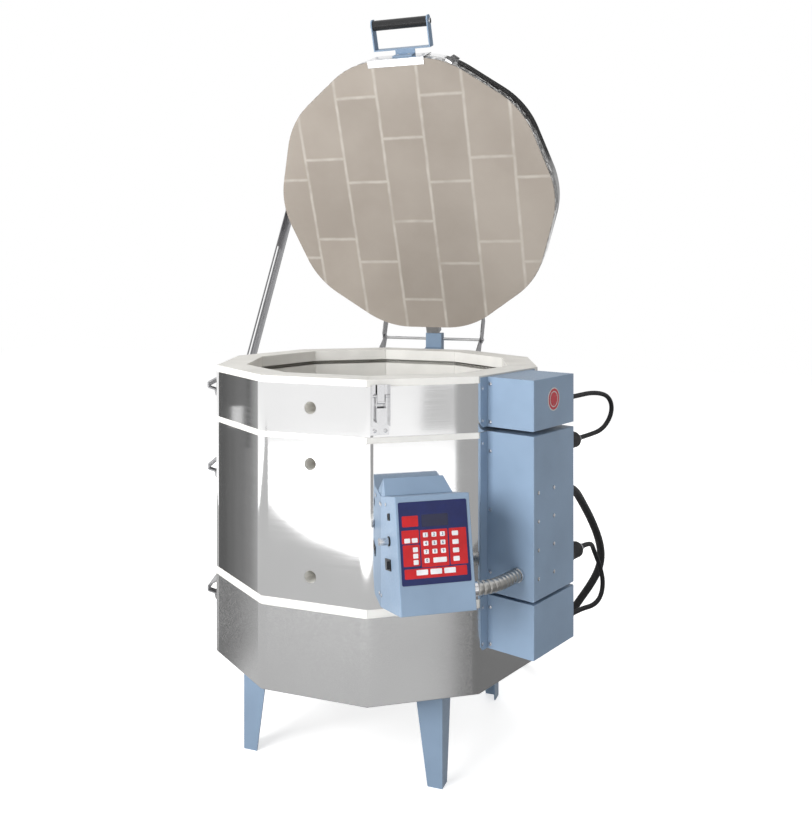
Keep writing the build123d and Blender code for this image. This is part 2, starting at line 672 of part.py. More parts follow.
plate_x = (PROP_X + PROP_LEG_A + BODY_GAP + 0.4, PROP_X + PROP_LEG_A + BODY_GAP + 0.4 + SHEET_T)
plate_s = (PROP_PIVOT_S - 18, PROP_PIVOT_S + 18)
pivot = lid_box(plate_s, plate_x, (PROP_PIVOT_H - 16, LID_OVER + SHEET_T))
pivot += lid_box(plate_s, (plate_x[0], plate_x[0] + 36), (LID_OVER, LID_OVER + SHEET_T))
pivot += prop_pin(HINGE_Y - PROP_PIVOT_S, HINGE_Z + PROP_PIVOT_H, plate_x[0])
lid["prop_pivot"] = pivot

circle = math.hypot(PROP_PIVOT_S, PROP_PIVOT_H)
stud_z = HINGE_Z - math.sqrt(circle**2 - (HINGE_Y - PROP_STUD_Y) ** 2)
stud_flat = -108
stud_x = -(JACKET - math.cos(math.radians(72)) * PROP_STUD_Y) / math.sin(math.radians(72))
stud_t = Vector(stud_x, PROP_STUD_Y, 0).dot(tan(stud_flat))
stud = block(stud_flat, (stud_t - 24, stud_t + 24), (JACKET, JACKET + BRACKET_T), (stud_z - 18, stud_z + 18))
stud += prop_pin(PROP_STUD_Y, stud_z, stud_x + 3)
stud -= prism(JACKET, (0, RIM))
for t in (stud_t - 17, stud_t + 17):
    spot = on_flat(stud_flat, t, JACKET + BRACKET_T, stud_z)
    stud -= screw_hole(spot)
    fix_to_jacket(spot, BRACKET_T)
parts["prop_stud"] = stud

pivot_y, pivot_z = lid_point(PROP_PIVOT_S, PROP_PIVOT_H)
way = Vector(0, PROP_STUD_Y - pivot_y, stud_z - pivot_z)
open_reach = way.length
closed_reach = math.hypot(HINGE_Y - PROP_PIVOT_S - PROP_STUD_Y, HINGE_Z + PROP_PIVOT_H - stud_z)
along = Plane(origin=(PROP_X + PROP_T, pivot_y, pivot_z), x_dir=way.normalized(), z_dir=(-1, 0, 0))
arm_l = (-PROP_HEAD, open_reach + PROP_TAIL)
leaf = Rectangle(arm_l[1] - arm_l[0], PROP_W)
leaf = Pos(sum(arm_l) / 2, 0) * fillet(leaf.vertices(), 6)
slot_w = PIN_D + 2 * SLOT_GAP
slot = Pos((open_reach + closed_reach) / 2, 0) * SlotCenterToCenter(open_reach - closed_reach, slot_w)
leaf -= slot
leaf -= Circle(PIN_D / 2 + RUN_GAP)
leg_b = along * extrude(leaf, PROP_T)
rear = PROP_W / 2 - PROP_T / 2
leg_a = Pos(PROP_LEG_A_END / 2, -rear, PROP_T - PROP_LEG_A / 2) * Box(PROP_LEG_A_END, PROP_T, PROP_LEG_A)
parts["prop_arm"] = leg_b + along * leg_a

# Ring handles: a bent strap on each of three rings, open below its ledge for the fingers
def ring_handle(flat, z):
    near = RING_T / 2
    far = RING_OUT - RING_T / 2
    profile = [(near, 40), (near, 28), (far, 12), (far, 0), (far / 2, -5), (far / 2 - 2, -17)]
    profile += [(near, -22), (near, -34)]
    path = FilletPolyline(*[at(flat, 0, JACKET + out, z + up) for out, up in profile], radius=4)
    section = Plane(origin=path @ 0, x_dir=tan(flat), z_dir=path % 0) * Rectangle(RING_W, RING_T)
    fingers = (-RING_GRIP_W / 2, RING_GRIP_W / 2)
    finger_gap = block(flat, fingers, (JACKET - 1, JACKET + RING_OUT + 1), (z - 40, z + 2))
    return sweep(section, path=path) - finger_gap


handles = []
for flat in RING_FLATS:
    for z in RING_Z:
        handle = ring_handle(flat, z)
        for t in (-RING_W / 2 + 10, RING_W / 2 - 10):
            for up in (34, -29):
                spot = on_flat(flat, t, JACKET + RING_T, z + up)
                handle -= screw_hole(spot)
                fix_to_jacket(spot, RING_T)
        handles.append(handle)
parts["ring_handles"] = group(handles)

# Electrical boxes: a folded cover over a tray on the jacket
def wall_plane(side, r, z):
    """Plane on a box's left or right wall, facing out of the box."""
    t, sign = (BOX_T[0], -1) if side == "left" else (BOX_T[1], 1)
    return Plane(origin=at(BOX_FLAT, t, r, z), x_dir=az(BOX_FLAT), z_dir=tan(BOX_FLAT) * sign)


def wall_round(side, r, z, out, diameter):
    """Cylinder through a box wall between two distances out of it."""
    plane = wall_plane(side, r, z)
    return plane * Pos(0, 0, sum(out) / 2) * Cylinder(diameter / 2, out[1] - out[0])


def wall_cone(side, r, z, out, diameters):
    plane = wall_plane(side, r, z)
    return plane * Pos(0, 0, sum(out) / 2) * Cone(diameters[0] / 2, diameters[1] / 2, out[1] - out[0])


cabinet_screws, backs = [], []
for name, z in BOXES.items():
    outer = block(BOX_FLAT, BOX_T, (BACK_R, BOX_R), z)
    front = max(outer.faces(), key=lambda face: face.center().dot(az(BOX_FLAT)))
    outer = fillet(front.edges(), 2)
    in_t = (BOX_T[0] + BOX_SHEET, BOX_T[1] - BOX_SHEET)
    in_z = (z[0] + BOX_SHEET, z[1] - BOX_SHEET)
    cover = outer - block(BOX_FLAT, in_t, (BACK_R - 1, BOX_R - BOX_SHEET), in_z)
    left, right = BACK_FLANGE_T
    sheet = [(left + 8, z[0]), (right, z[0]), (right, z[1]), (left, z[1]), (left, z[0] + 8)]
    plane = on_flat(BOX_FLAT, 0, JACKET, 0)
    back = extrude(plane * make_face(Polyline(*sheet, close=True)), BACK_T, dir=az(BOX_FLAT))
    window = (z[0] + 2 * BOX_SHEET, z[1] - 2 * BOX_SHEET)
    back -= block(BOX_FLAT, (-60, 45), (JACKET - 1, BACK_R + 1), window)
    ring_t = (in_t[0] + BACK_WALL_GAP, in_t[1] - BACK_WALL_GAP)
    ring_z = (in_z[0] + BACK_WALL_GAP, in_z[1] - BACK_WALL_GAP)
    well_t = (ring_t[0] + BACK_T, ring_t[1] - BACK_T)
    well_z = (ring_z[0] + BACK_T, ring_z[1] - BACK_T)
    ring = block(BOX_FLAT, ring_t, (BACK_R, BACK_R + BACK_WALL), ring_z)
    back += ring - block(BOX_FLAT, well_t, (JACKET - 1, BACK_R + BACK_WALL + 1), well_z)
    for side in ("left", "right"):
        for screw_z in BOX_SCREWS[name]:
            spot = wall_plane(side, BACK_R + BOX_SCREW_OUT, screw_z)
            grip = BOX_SHEET + BACK_WALL_GAP + BACK_T
            cabinet_screws.append(screw(spot, grip))
            cover -= screw_hole(spot, grip)
            back -= screw_hole(spot, grip)
    for t in (left + 6, right - 6):
        for screw_z in (z[0] + 14, z[1] - 22):
            spot = on_flat(BOX_FLAT, t, BACK_R, screw_z)
            back -= screw_hole(spot)
            fix_to_jacket(spot, BACK_T)
    backs.append(back)
    parts[f"box_cover_{name}"] = cover
parts["box_backs"] = group(backs)

relays = []
relay_front = BOX_R - BOX_SHEET
for z in RELAY_ROWS:
    wide, tall, deep = RELAY_BODY
    middle = sum(RELAY_SCREW_T) / 2
    rows = (z - tall / 2, z + tall / 2)
    plate_t = (RELAY_SCREW_T[0] - 5, RELAY_SCREW_T[1] + 5)
    relay = block(BOX_FLAT, plate_t, (relay_front - 3, relay_front), rows)
    relay_t = (middle - wide / 2, middle + wide / 2)
    relay += block(BOX_FLAT, relay_t, (relay_front - deep, relay_front - 3), rows)
    for t in RELAY_SCREW_T:
        spot = on_flat(BOX_FLAT, t, BOX_R, z)
        relay -= screw_hole(spot)
        parts["box_cover_main"] -= screw_hole(spot)
        cabinet_screws.append(screw(spot, BOX_SHEET + 3))
    relays.append(relay)
parts["relays"] = group(relays)
parts["badge"] = round_out(BOX_FLAT, BADGE_T, BADGE_Z, (BOX_R, BOX_R + 1), BADGE_D)

# Controller: a case that leans back, open to a back plate on the jacket
lean = math.radians(CTL_LEAN)
face_way = az(CTL_FLAT) * math.cos(lean) + Vector(0, 0, math.sin(lean))
ctl = Plane(origin=at(CTL_FLAT, 0, CTL_TOP_R, CTL_TOP_Z), x_dir=tan(CTL_FLAT), z_dir=face_way)


def ctl_box(x, y, z):
    """Box in the face's own frame: x along it, y up it, z out of it."""
    middle = Pos(sum(x) / 2, sum(y) / 2, sum(z) / 2)
    return ctl * middle * Box(x[1] - x[0], y[1] - y[0], z[1] - z[0])


def ctl_top_z(r):
    return CTL_TOP_Z - (CTL_TOP_R - r) * math.tan(lean)


outer = ctl_box(CTL_T, (-CTL_FACE_H, 0), (-190, 0))
front = max(outer.faces(), key=lambda face: face.center().dot(face_way))
outer = fillet(front.edges(), 2)
in_t = (CTL_T[0] + CTL_SHEET, CTL_T[1] - CTL_SHEET)
hollow = ctl_box(in_t, (-CTL_FACE_H + CTL_SHEET, -CTL_SHEET), (-191, -CTL_SHEET))
case = outer - hollow - block(CTL_FLAT, (-400, 400), (0, BACK_R), (200, 900))
foot_r = CTL_TOP_R + CTL_FACE_H * math.sin(lean)
foot_z = CTL_TOP_Z - CTL_FACE_H * math.cos(lean)
back_z = (foot_z - (foot_r - BACK_R) * math.tan(lean), ctl_top_z(BACK_R))
back = block(CTL_FLAT, CTL_T, (JACKET, BACK_R), back_z)
back -= block(CTL_FLAT, (THERMO_T - 25, THERMO_T + 25), (0, BACK_R + 1), (THERMO_Z - 20, THERMO_Z + 20))
for t in (CTL_T[0] + 14, CTL_T[1] - 14):
    for z in (back_z[0] + 22, back_z[1] - 22):
        spot = on_flat(CTL_FLAT, t, BACK_R, z)
        back -= screw_hole(spot)
        fix_to_jacket(spot, BACK_T)
parts["controller_back"] = back

hood_r = JACKET + HOOD_DEPTH
seat_z = ctl_top_z(hood_r) + HOOD_SEAT
profile = [(JACKET, HOOD_TOP_Z), (hood_r, seat_z), (JACKET, ctl_top_z(JACKET) + HOOD_SEAT)]
side_cut = [(HOOD_T_LOW[0], seat_z - 9), (HOOD_T_LOW[1], seat_z - 9)]
side_cut += [(HOOD_T_TOP[1], HOOD_TOP_Z), (HOOD_T_TOP[0], HOOD_TOP_Z)]
plan = on_flat(CTL_FLAT, 0, JACKET - 2, 0) * make_face(Polyline(*side_cut, close=True))
hood = profile_along(CTL_FLAT, profile, HOOD_T_LOW) & extrude(plan, HOOD_DEPTH + 4, dir=az(CTL_FLAT))
under = [(JACKET - 1, HOOD_TOP_Z - 4), (hood_r - 4, seat_z - 1)]
under += [(hood_r - 4, seat_z - 9), (JACKET - 1, seat_z - 9)]
hood -= profile_along(CTL_FLAT, under, (HOOD_T_TOP[0] + 3, HOOD_T_TOP[1] - 3))
parts["controller_hood"] = hood

# Keypad: x, y, width and height of each key on the face
small, wide_key = (9.4, 8.4), (22.0, 9.5)
keys = [(x, y, *small) for x in (-33.5, -17.0, -0.5) for y in (-71.0, -86.0, -101.0)]
keys += [(-33.0, -116.5, *small), (-8.0, -116.7, 26.0, 9.0), (-61.5, -45.2, 31.0, 19.0)]
keys += [(24.0, y, 12.0, 8.4) for y in (-71.4, -86.8, -101.8, -116.8)]
keys += [(-68.8, -79.4, 11.0, 8.0), (-54.5, -79.4, 11.0, 8.0)]
keys += [(-54.2, y, *small) for y in (-96.0, -107.2, -118.4)]
keys += [(x, -136.6, *wide_key) for x in (-43.5, -16.8, 9.9)]
keypad = ctl_box(PAD_X, PAD_Y, (0, PAD_T))
for x, y, w, h in keys:
    keypad += ctl_box((x - w / 2, x + w / 2), (y - h / 2, y + h / 2), (PAD_T, PAD_T + KEY_T))
parts["keypad"] = keypad + ctl_box((-39.5, 12.0), (-56.5, -34.5), (PAD_T, PAD_T + KEY_T))


# Controls on the controller's left wall
def left_wall(at_place):
    """Plane on the wall: X towards the face, Z out of the case, a distance back and down from the face's top."""
    back_in, down = at_place
    origin = ctl.origin + ctl.x_dir * CTL_T[0] - ctl.y_dir * down - ctl.z_dir * back_in
    return Plane(origin=origin, x_dir=ctl.z_dir, z_dir=-ctl.x_dir)


def wall_block(plane, length, height, out):
    return plane * Pos(0, 0, sum(out) / 2) * Box(length, height, out[1] - out[0])


def wall_pin(plane, diameter, out):
    return plane * Pos(0, 0, sum(out) / 2) * Cylinder(diameter / 2, out[1] - out[0])


rocker_wall = left_wall(ROCKER_AT)
long, high = ROCKER_SIZE
well = (long - 3.4, high - 3.4)
housing = wall_block(rocker_wall, long, high, (-24, 0))
housing += wall_block(rocker_wall, long + 3, high + 3, (0, ROCKER_BEZEL))
housing -= wall_block(rocker_wall, *well, (-6, ROCKER_BEZEL + 1))
panel_fittings = [housing]
case -= wall_block(rocker_wall, long + 2 * SCREW_HOLE_GAP, high + 2 * SCREW_HOLE_GAP, (-3, 1))
half_rocker = well[0] / 2 - 2.5 * BODY_GAP
rocker_shape = [(-half_rocker, -3), (half_rocker, -3), (half_rocker, ROCKER_RISE)]
rocker_shape += [(0, ROCKER_RISE - 1.5), (-half_rocker, ROCKER_RISE)]
rocker_side = Plane(origin=rocker_wall.origin, x_dir=rocker_wall.x_dir, z_dir=ctl.y_dir)
out_sign = 1 if rocker_side.y_dir.dot(rocker_wall.z_dir) > 0 else -1
rocker_face = make_face(Polyline(*[(x, out_sign * y) for x, y in rocker_shape], close=True))
rocker = extrude(rocker_side * rocker_face, (high - 3.4) / 2 - BODY_GAP, both=True)
rocker_pin = Plane(origin=rocker_wall.origin, z_dir=ctl.y_dir)
rocker -= rocker_pin * Cylinder(ROCKER_PIN_D / 2 + RUN_GAP, high)
panel_fittings[0] += rocker_pin * Cylinder(ROCKER_PIN_D / 2, high - 2)
parts["rocker"] = rocker.rotate(Axis(rocker_wall.origin, ctl.y_dir), -ROCKER_TILT)

fuse_wall = left_wall(FUSE_AT)
holder = wall_pin(fuse_wall, FUSE_D + 4, (0, 2.5)) + wall_pin(fuse_wall, FUSE_D - 2, (-26, 0))
panel_fittings.append(holder)
case -= wall_pin(fuse_wall, FUSE_D - 2 + 2 * SCREW_HOLE_GAP, (-3, 1))
cap = wall_pin(fuse_wall, FUSE_D, (2.5 + BODY_GAP, FUSE_L + 2.5))
cap -= wall_block(fuse_wall, FUSE_D + 2, 1.6, (FUSE_L + 0.5, FUSE_L + 4))
for k in range(12):
    flute = Rot(0, 0, 30 * k) * Pos(FUSE_D / 2 + 0.35, 0, 0)
    cap -= fuse_wall * flute * Pos(0, 0, FUSE_L / 2) * Cylinder(0.9, FUSE_L * 2)
parts["fuse_cap"] = cap

port_wall = left_wall(PORT_AT)
port = wall_block(port_wall, PORT_SIZE, PORT_SIZE, (0, 2))
panel_fittings.append(port - wall_block(port_wall, PORT_SIZE - 4, PORT_SIZE - 4, (0.8, 3)))
parts["panel_fittings"] = group(panel_fittings)

for place in CTL_SCREWS:
    spot = left_wall(place)
    case -= screw_hole(spot)
    cabinet_screws.append(screw(spot, CTL_SHEET))
    across = Plane(origin=spot.origin + ctl.x_dir * (CTL_T[1] - CTL_T[0]), x_dir=ctl.z_dir, z_dir=ctl.x_dir)
    case -= screw_hole(across)
    cabinet_screws.append(screw(across, CTL_SHEET))
parts["cabinet_screws"] = group(cabinet_screws)

# Conduit between the controller's right wall and the main box's left wall
start = at(CTL_FLAT, CTL_T[1], CONDUIT_CTL_R, CONDUIT_Z)
finish = at(BOX_FLAT, BOX_T[0], CONDUIT_BOX_R, CONDUIT_Z)
a_way, b_way = tan(CTL_FLAT), tan(BOX_FLAT)
gap = finish - start
reach = (gap.X * b_way.Y - gap.Y * b_way.X) / (a_way.X * b_way.Y - a_way.Y * b_way.X)
corner = start + a_way * reach
hose_start = start + a_way * FITTING_CTL_L
hose_end = finish - b_way * FITTING_BOX_L
hose = FilletPolyline(hose_start, corner, hose_end, radius=CONDUIT_BEND)
rings = []
for k in range(CONDUIT_RIBS):
    rib = ((0.0, CONDUIT_ROOT_D), (0.3, CONDUIT_D), (0.7, CONDUIT_D), (0.95, CONDUIT_ROOT_D))
    for share, diameter in rib:
        u = (k + share) / CONDUIT_RIBS
        rings.append(Plane(origin=hose @ u, x_dir=(0, 0, 1), z_dir=hose % u) * Circle(diameter / 2))
rings.append(Plane(origin=hose @ 1, x_dir=(0, 0, 1), z_dir=hose % 1) * Circle(CONDUIT_ROOT_D / 2))
bore = sweep(Plane(origin=hose_start, z_dir=a_way) * Circle(CONDUIT_BORE / 2), path=hose)
parts["conduit"] = loft(rings, ruled=True) - bore


def fitting(place, outwards, length):
    """Threaded connector: its body outside the wall and its locknut inside."""
    body = round_along(place, outwards, length, FITTING_D)
    body += round_along(place, outwards * -1, 14, CONDUIT_ROOT_D)
    body += round_along(place - outwards * (BOX_SHEET + 4), outwards, 4, FITTING_D)
    return body - round_along(place - outwards * 20, outwards, 80, CONDUIT_BORE)


parts["conduit_fittings"] = group(
    [fitting(start, a_way, FITTING_CTL_L), fitting(finish, b_way * -1, FITTING_BOX_L)]
)
case -= round_along(start - a_way * 5, a_way, 8, CONDUIT_ROOT_D + 2 * SCREW_HOLE_GAP)
parts["box_cover_main"] -= round_along(finish - b_way * 3, b_way, 8, CONDUIT_ROOT_D + 2 * SCREW_HOLE_GAP)
parts["controller_case"] = case


# Cords: straight runs joined by arcs as large as their runs allow
def bend_radii(points):
    radii = []
    for before, here, after in zip(points, points[1:], points[2:]):
        half = math.radians((here - before).get_angle(after - here)) / 2
        radii.append(0.45 * min((here - before).length, (after - here).length) / math.tan(half))
    return radii


def cord(name, points, diameter):
    radii = bend_radii(points)
    path = FilletPolyline(*points, radius=radii)
    section = Plane(origin=points[0], z_dir=points[1] - points[0]) * Circle(diameter / 2)
    tube = sweep(section, path=path)
    share = tube.volume / (path.length * math.pi * diameter**2 / 4)
    print(name, "length", round(path.length), "least radius", round(min(radii)), "volume share", round(share, 4))
    return tube


def wall_end(place, out):
    """Point straight out of the boxes' right wall, a distance from it."""
    r, z = place
    return at(BOX_FLAT, BOX_T[1] + out, r, z)


def corners(route):
    return [Vector(*point) for point in route]


plug_out = SOCKET_L + PLUG_L + COLLAR_L + RELIEF_L
gland_out = GLAND_L + RELIEF_L
supply_out = GLAND_L + SUPPLY_RELIEF_L
up_points = [wall_end(UP_GLAND, gland_out), wall_end(UP_GLAND, gland_out + STRAIGHT_END)]
up_points += corners(UP_ROUTE) + [wall_end(UP_PLUG, plug_out + STRAIGHT_END), wall_end(UP_PLUG, plug_out)]
parts["jumper_upper"] = cord("jumper_upper", up_points, JUMPER_D)
low_points = [wall_end(LOW_PLUG, plug_out), wall_end(LOW_PLUG, plug_out + STRAIGHT_END)]
low_points += corners(LOW_ROUTE)
low_points += [wall_end(LOW_GLAND, gland_out + STRAIGHT_END), wall_end(LOW_GLAND, gland_out)]
parts["jumper_lower"] = cord("jumper_lower", low_points, JUMPER_D)

floor_z = SUPPLY_D / 2 + FLOOR_GAP
coil_turn = math.radians(COIL_HEADING)
coil_way = Vector(math.cos(coil_turn), math.sin(coil_turn), 0)
coil_start = Vector(*COIL_START, floor_z)
supply_points = [wall_end(SUPPLY_GLAND, supply_out), wall_end(SUPPLY_GLAND, supply_out + STRAIGHT_END)]
supply_points += corners(SUPPLY_ROUTE) + [coil_start - coil_way * LEVEL_END, coil_start]
parts["supply_cord"] = cord("supply_cord", supply_points, SUPPLY_D)


def socket(at_place):
    r, z = at_place
    rear = wall_round("right", r, z, (-22, 0), SOCKET_D - 12)
    return wall_round("right", r, z, (0, SOCKET_L), SOCKET_D) + rear


def plug(at_place):
    r, z = at_place
    body_out = (SOCKET_L, SOCKET_L + PLUG_L)
    body = wall_round("right", r, z, body_out, PLUG_D)
    rims = body.edges().filter_by(GeomType.CIRCLE).sort_by(lambda e: e.center().dot(tan(BOX_FLAT)))
    body = fillet(rims[-1], 4)
    neck = (body_out[1] + COLLAR_L, body_out[1] + COLLAR_L + RELIEF_L)
    return body + wall_cone("right", r, z, neck, (COLLAR_D - 5, JUMPER_D + 2)) + wall_round(
        "right", r, z, (body_out[1], body_out[1] + COLLAR_L), COLLAR_D - 6
    )


def collar(at_place):
    r, z = at_place
    out = (SOCKET_L + PLUG_L, SOCKET_L + PLUG_L + COLLAR_L)
    return wall_round("right", r, z, out, COLLAR_D) - wall_round("right", r, z, out, COLLAR_D - 6)


def gland(at_place, cord_d, relief):
    r, z = at_place
    flange = cord_d + GLAND_OVER_D
    body = wall_round("right", r, z, (0, GLAND_L), flange) + wall_round("right", r, z, (-8, 0), cord_d + 4)
    return body + wall_cone("right", r, z, (GLAND_L, GLAND_L + relief), (flange - 4, cord_d + 2))


def wall_hole(box, at_place, diameter):
    cut = wall_round("right", *at_place, (-4, 1), diameter + 2 * SCREW_HOLE_GAP)
    parts[f"box_cover_{box}"] -= cut


parts["jumper_plugs"] = group([plug(UP_PLUG), plug(LOW_PLUG)])
parts["plug_collars"] = group([collar(UP_PLUG), collar(LOW_PLUG)])
entries = [socket(UP_PLUG), socket(LOW_PLUG)]
entries += [gland(UP_GLAND, JUMPER_D, RELIEF_L), gland(LOW_GLAND, JUMPER_D, RELIEF_L)]
entries.append(gland(SUPPLY_GLAND, SUPPLY_D, SUPPLY_RELIEF_L))
parts["cord_entries"] = group(entries)
for place in (UP_PLUG, LOW_PLUG):
    wall_hole("main", place, SOCKET_D - 12)
wall_hole("top", UP_GLAND, JUMPER_D + 4)
wall_hole("low", LOW_GLAND, JUMPER_D + 4)
wall_hole("main", SUPPLY_GLAND, SUPPLY_D + 4)

# Spare supply cord: one flat coil on the floor behind the kiln, its plug inside the turns
turns = [(COIL_OUTER_R - COIL_STEP * k, 90.0) for k in range(COIL_QUARTERS)] + [(COIL_END_R, COIL_END_TURN)]
place, way = coil_start, coil_way
coil_edges, coil_points = [], []
for radius, turn in turns:
    centre = place + way.rotate(Axis.Z, 90) * radius
    spoke = place - centre
    end = centre + spoke.rotate(Axis.Z, turn)
    coil_edges.append(Edge.make_three_point_arc(place, centre + spoke.rotate(Axis.Z, turn / 2), end))
    coil_points += [centre + spoke.rotate(Axis.Z, turn * k / 12) for k in range(12)]
    place, way = end, way.rotate(Axis.Z, turn)
coil_edges.append(Edge.make_line(place, place + way * COIL_STRAIGHT))
coil_wire = Wire(coil_edges)
coil = sweep(Plane(origin=coil_start, z_dir=coil_way) * Circle(SUPPLY_D / 2), path=coil_wire)
parts["supply_coil"] = coil
share = coil.volume / (coil_wire.length * math.pi * SUPPLY_D**2 / 4)
apart = [(a - b).length for i, a in enumerate(coil_points) for b in coil_points[i + 12:]]
print("supply_coil length", round(coil_wire.length), "volume share", round(share, 4),
      "least gap", round(min(apart) - SUPPLY_D, 1))

plug_start = place + way * COIL_STRAIGHT
long, wide, thick = SUPPLY_PLUG
flat_on_floor = Plane(origin=plug_start, x_dir=way, z_dir=(0, 0, 1))
neck = cone_along(plug_start, way, SUPPLY_NECK_L, SUPPLY_D + 2, SUPPLY_D + 8)
neck -= Pos(0, 0, FLOOR_GAP - 50) * Box(2000, 2000, 100)
body_up = FLOOR_GAP + thick / 2 - floor_z
body = flat_on_floor * Pos(SUPPLY_NECK_L + long / 2, 0, body_up) * Box(long, wide, thick)
body = fillet(body.edges(), 4)
parts["supply_plug"] = body + neck
blades = []
for side_y, width in ((-BLADE_SPREAD, BLADE[2]), (BLADE_SPREAD, BLADE[2]), (0, BLADE[2])):
    up = body_up + (7 if side_y == 0 else -4)
    size = (BLADE[0], BLADE[1], width) if side_y else (BLADE[0], 5, 5)
    blades.append(flat_on_floor * Pos(SUPPLY_NECK_L + long + BLADE[0] / 2, side_y, up) * Box(*size))
parts["supply_blades"] = group(blades)

# Latch on flat 36
def latch_block(t, out, z):
    return block(CTL_FLAT, (LATCH_T + t[0], LATCH_T + t[1]), (JACKET + out[0], JACKET + out[1]), z)


def latch_pin(t, z, diameter):
    middle = at(CTL_FLAT, LATCH_T + sum(t) / 2, JACKET + LEVER_PIVOT_OUT, z)
    return Plane(origin=middle, z_dir=tan(CTL_FLAT)) * Cylinder(diameter / 2, t[1] - t[0])


half = LATCH_W / 2
bail_z = LEVER_PIVOT_Z - BAIL_DROP
base = latch_block((-half, half), (0, LATCH_T_SHEET), LATCH_BASE_Z)
ear_in = LEVER_W / 2 - LATCH_T_SHEET
lever = latch_block((-LEVER_W / 2, LEVER_W / 2), (14, 14 + LATCH_T_SHEET), (LEVER_Z[0], bail_z - 10))
through = lever.edges().filter_by(lambda e: abs((e % 0.5).dot(az(CTL_FLAT))) > 0.99)
lever = fillet(through.group_by(Axis.Z)[0], 7)
for sign in (-1, 1):
    rail_t = sorted((sign * (half - LATCH_T_SHEET), sign * half))
    base += latch_block(rail_t, (0, LATCH_RAIL_H), LATCH_RAIL_Z)
    base += latch_pin(sorted((sign * (ear_in - 0.2), sign * (half - 0.5))), LEVER_PIVOT_Z, 4)
    ear_t = sorted((sign * ear_in, sign * LEVER_W / 2))
    ear = latch_block(ear_t, (5, 14 + LATCH_T_SHEET / 2), (LEVER_Z[0] + 8, bail_z - 10))
    ear += latch_block(ear_t, (5, 11), (bail_z - 12, LEVER_PIVOT_Z))
    ear += latch_pin(ear_t, LEVER_PIVOT_Z, 8)
    lever += ear - latch_pin((-half, half), LEVER_PIVOT_Z, 4 + 2 * RUN_GAP)
lever += latch_pin((-ear_in - 0.5, ear_in + 0.5), bail_z, 3)
bail_t = (-BAIL_W / 2, BAIL_W / 2)
bail = latch_block(bail_t, (LEVER_PIVOT_OUT - 0.75, LEVER_PIVOT_OUT + 0.75), (bail_z, BAIL_TOP_Z))
bail += latch_block(bail_t, (4, LEVER_PIVOT_OUT), (BAIL_TOP_Z - LATCH_T_SHEET, BAIL_TOP_Z))
bail += latch_pin(bail_t, bail_z, 6)
bail -= latch_pin((-half, half), bail_z, 3 + 2 * RUN_GAP)
for t in (-11, 11):
    spot = on_flat(CTL_FLAT, LATCH_T + t, JACKET + LATCH_T_SHEET, LATCH_BASE_Z[0] + 9)
    base -= screw_hole(spot)
    fix_to_jacket(spot, LATCH_T_SHEET)
parts["latch_base"] = base
parts["latch_lever"] = lever
parts["latch_bail"] = bail

strike_t = (LATCH_T - 9, LATCH_T + 9)
strike_r = (LID_APOTHEM + BODY_GAP, LID_APOTHEM + BODY_GAP + LATCH_T_SHEET)
lid_top = HINGE_Z + LID_OVER
strike_z = BAIL_TOP_Z + 2
strike = block(CTL_FLAT, strike_t, strike_r, (strike_z, lid_top + LATCH_T_SHEET))
lip_r = (strike_r[0], JACKET + LEVER_PIVOT_OUT - 0.5)
strike += block(CTL_FLAT, strike_t, lip_r, (strike_z, strike_z + LATCH_T_SHEET))
strike += block(CTL_FLAT, strike_t, (strike_r[0] - 32, strike_r[1]), (lid_top, lid_top + LATCH_T_SHEET))
lid["latch_strike"] = strike


# Jackets last, with a hole for each thing that goes through them
def jacket(z):
    sheet = prism(JACKET, z) - prism(OUTER, z)
    cuts = [cut for k in range(SIDES) for cut in wall_cuts(int(2 * HALF_TURN * k))]
    cuts += [screw_hole(spot, grip) for spot, grip in jacket_screws]
    for cut in cuts:
        bounds = cut.bounding_box()
        if bounds.max.Z > z[0] and bounds.min.Z < z[1]:
            sheet -= cut
    return sheet


parts["jacket_low"] = jacket((STAND_H, LOW_TOP - LOW_JACKET_TOP_GAP))
parts["jacket_mid"] = jacket((LOW_TOP + MID_JACKET_FOOT_GAP, MID_TOP - MID_JACKET_TOP_GAP))
parts["jacket_top"] = jacket((MID_TOP + TOP_JACKET_FOOT_GAP, RIM - RIM_LIP))
parts["jacket_screws"] = group([screw(spot, grip) for spot, grip in jacket_screws])

for name, piece in lid.items():
    parts[name] = open_lid(piece)

os.makedirs("parts", exist_ok=True)
for name, piece in parts.items():
    export_step(piece, f"parts/{name}.step")
print(len(parts), "nodes")
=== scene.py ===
import json
import math
import bpy
import bmesh
import numpy as np
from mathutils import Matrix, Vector


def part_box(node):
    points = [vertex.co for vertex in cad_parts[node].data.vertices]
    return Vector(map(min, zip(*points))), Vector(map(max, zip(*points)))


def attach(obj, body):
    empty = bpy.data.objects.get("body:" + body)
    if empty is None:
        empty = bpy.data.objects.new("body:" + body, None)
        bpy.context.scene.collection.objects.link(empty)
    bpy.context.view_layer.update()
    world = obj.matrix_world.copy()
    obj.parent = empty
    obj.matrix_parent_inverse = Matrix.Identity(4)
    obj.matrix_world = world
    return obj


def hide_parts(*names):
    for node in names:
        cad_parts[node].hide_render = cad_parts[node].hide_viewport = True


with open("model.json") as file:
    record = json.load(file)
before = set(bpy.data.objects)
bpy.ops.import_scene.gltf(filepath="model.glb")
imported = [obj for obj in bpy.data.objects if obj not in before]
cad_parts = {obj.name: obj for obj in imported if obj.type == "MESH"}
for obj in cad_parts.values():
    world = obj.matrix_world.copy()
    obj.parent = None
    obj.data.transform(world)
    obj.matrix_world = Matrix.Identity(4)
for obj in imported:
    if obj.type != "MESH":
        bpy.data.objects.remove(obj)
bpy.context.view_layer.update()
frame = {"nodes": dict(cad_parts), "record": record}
nodes = frame["nodes"]
bodyOf = {node: body for body, members in frame["record"]["behaviour"]["bodies"].items() for node in members}
slotOf = {row["node"]: row["material_slot"] for row in frame["record"]["subparts"]}
mm = 0.001
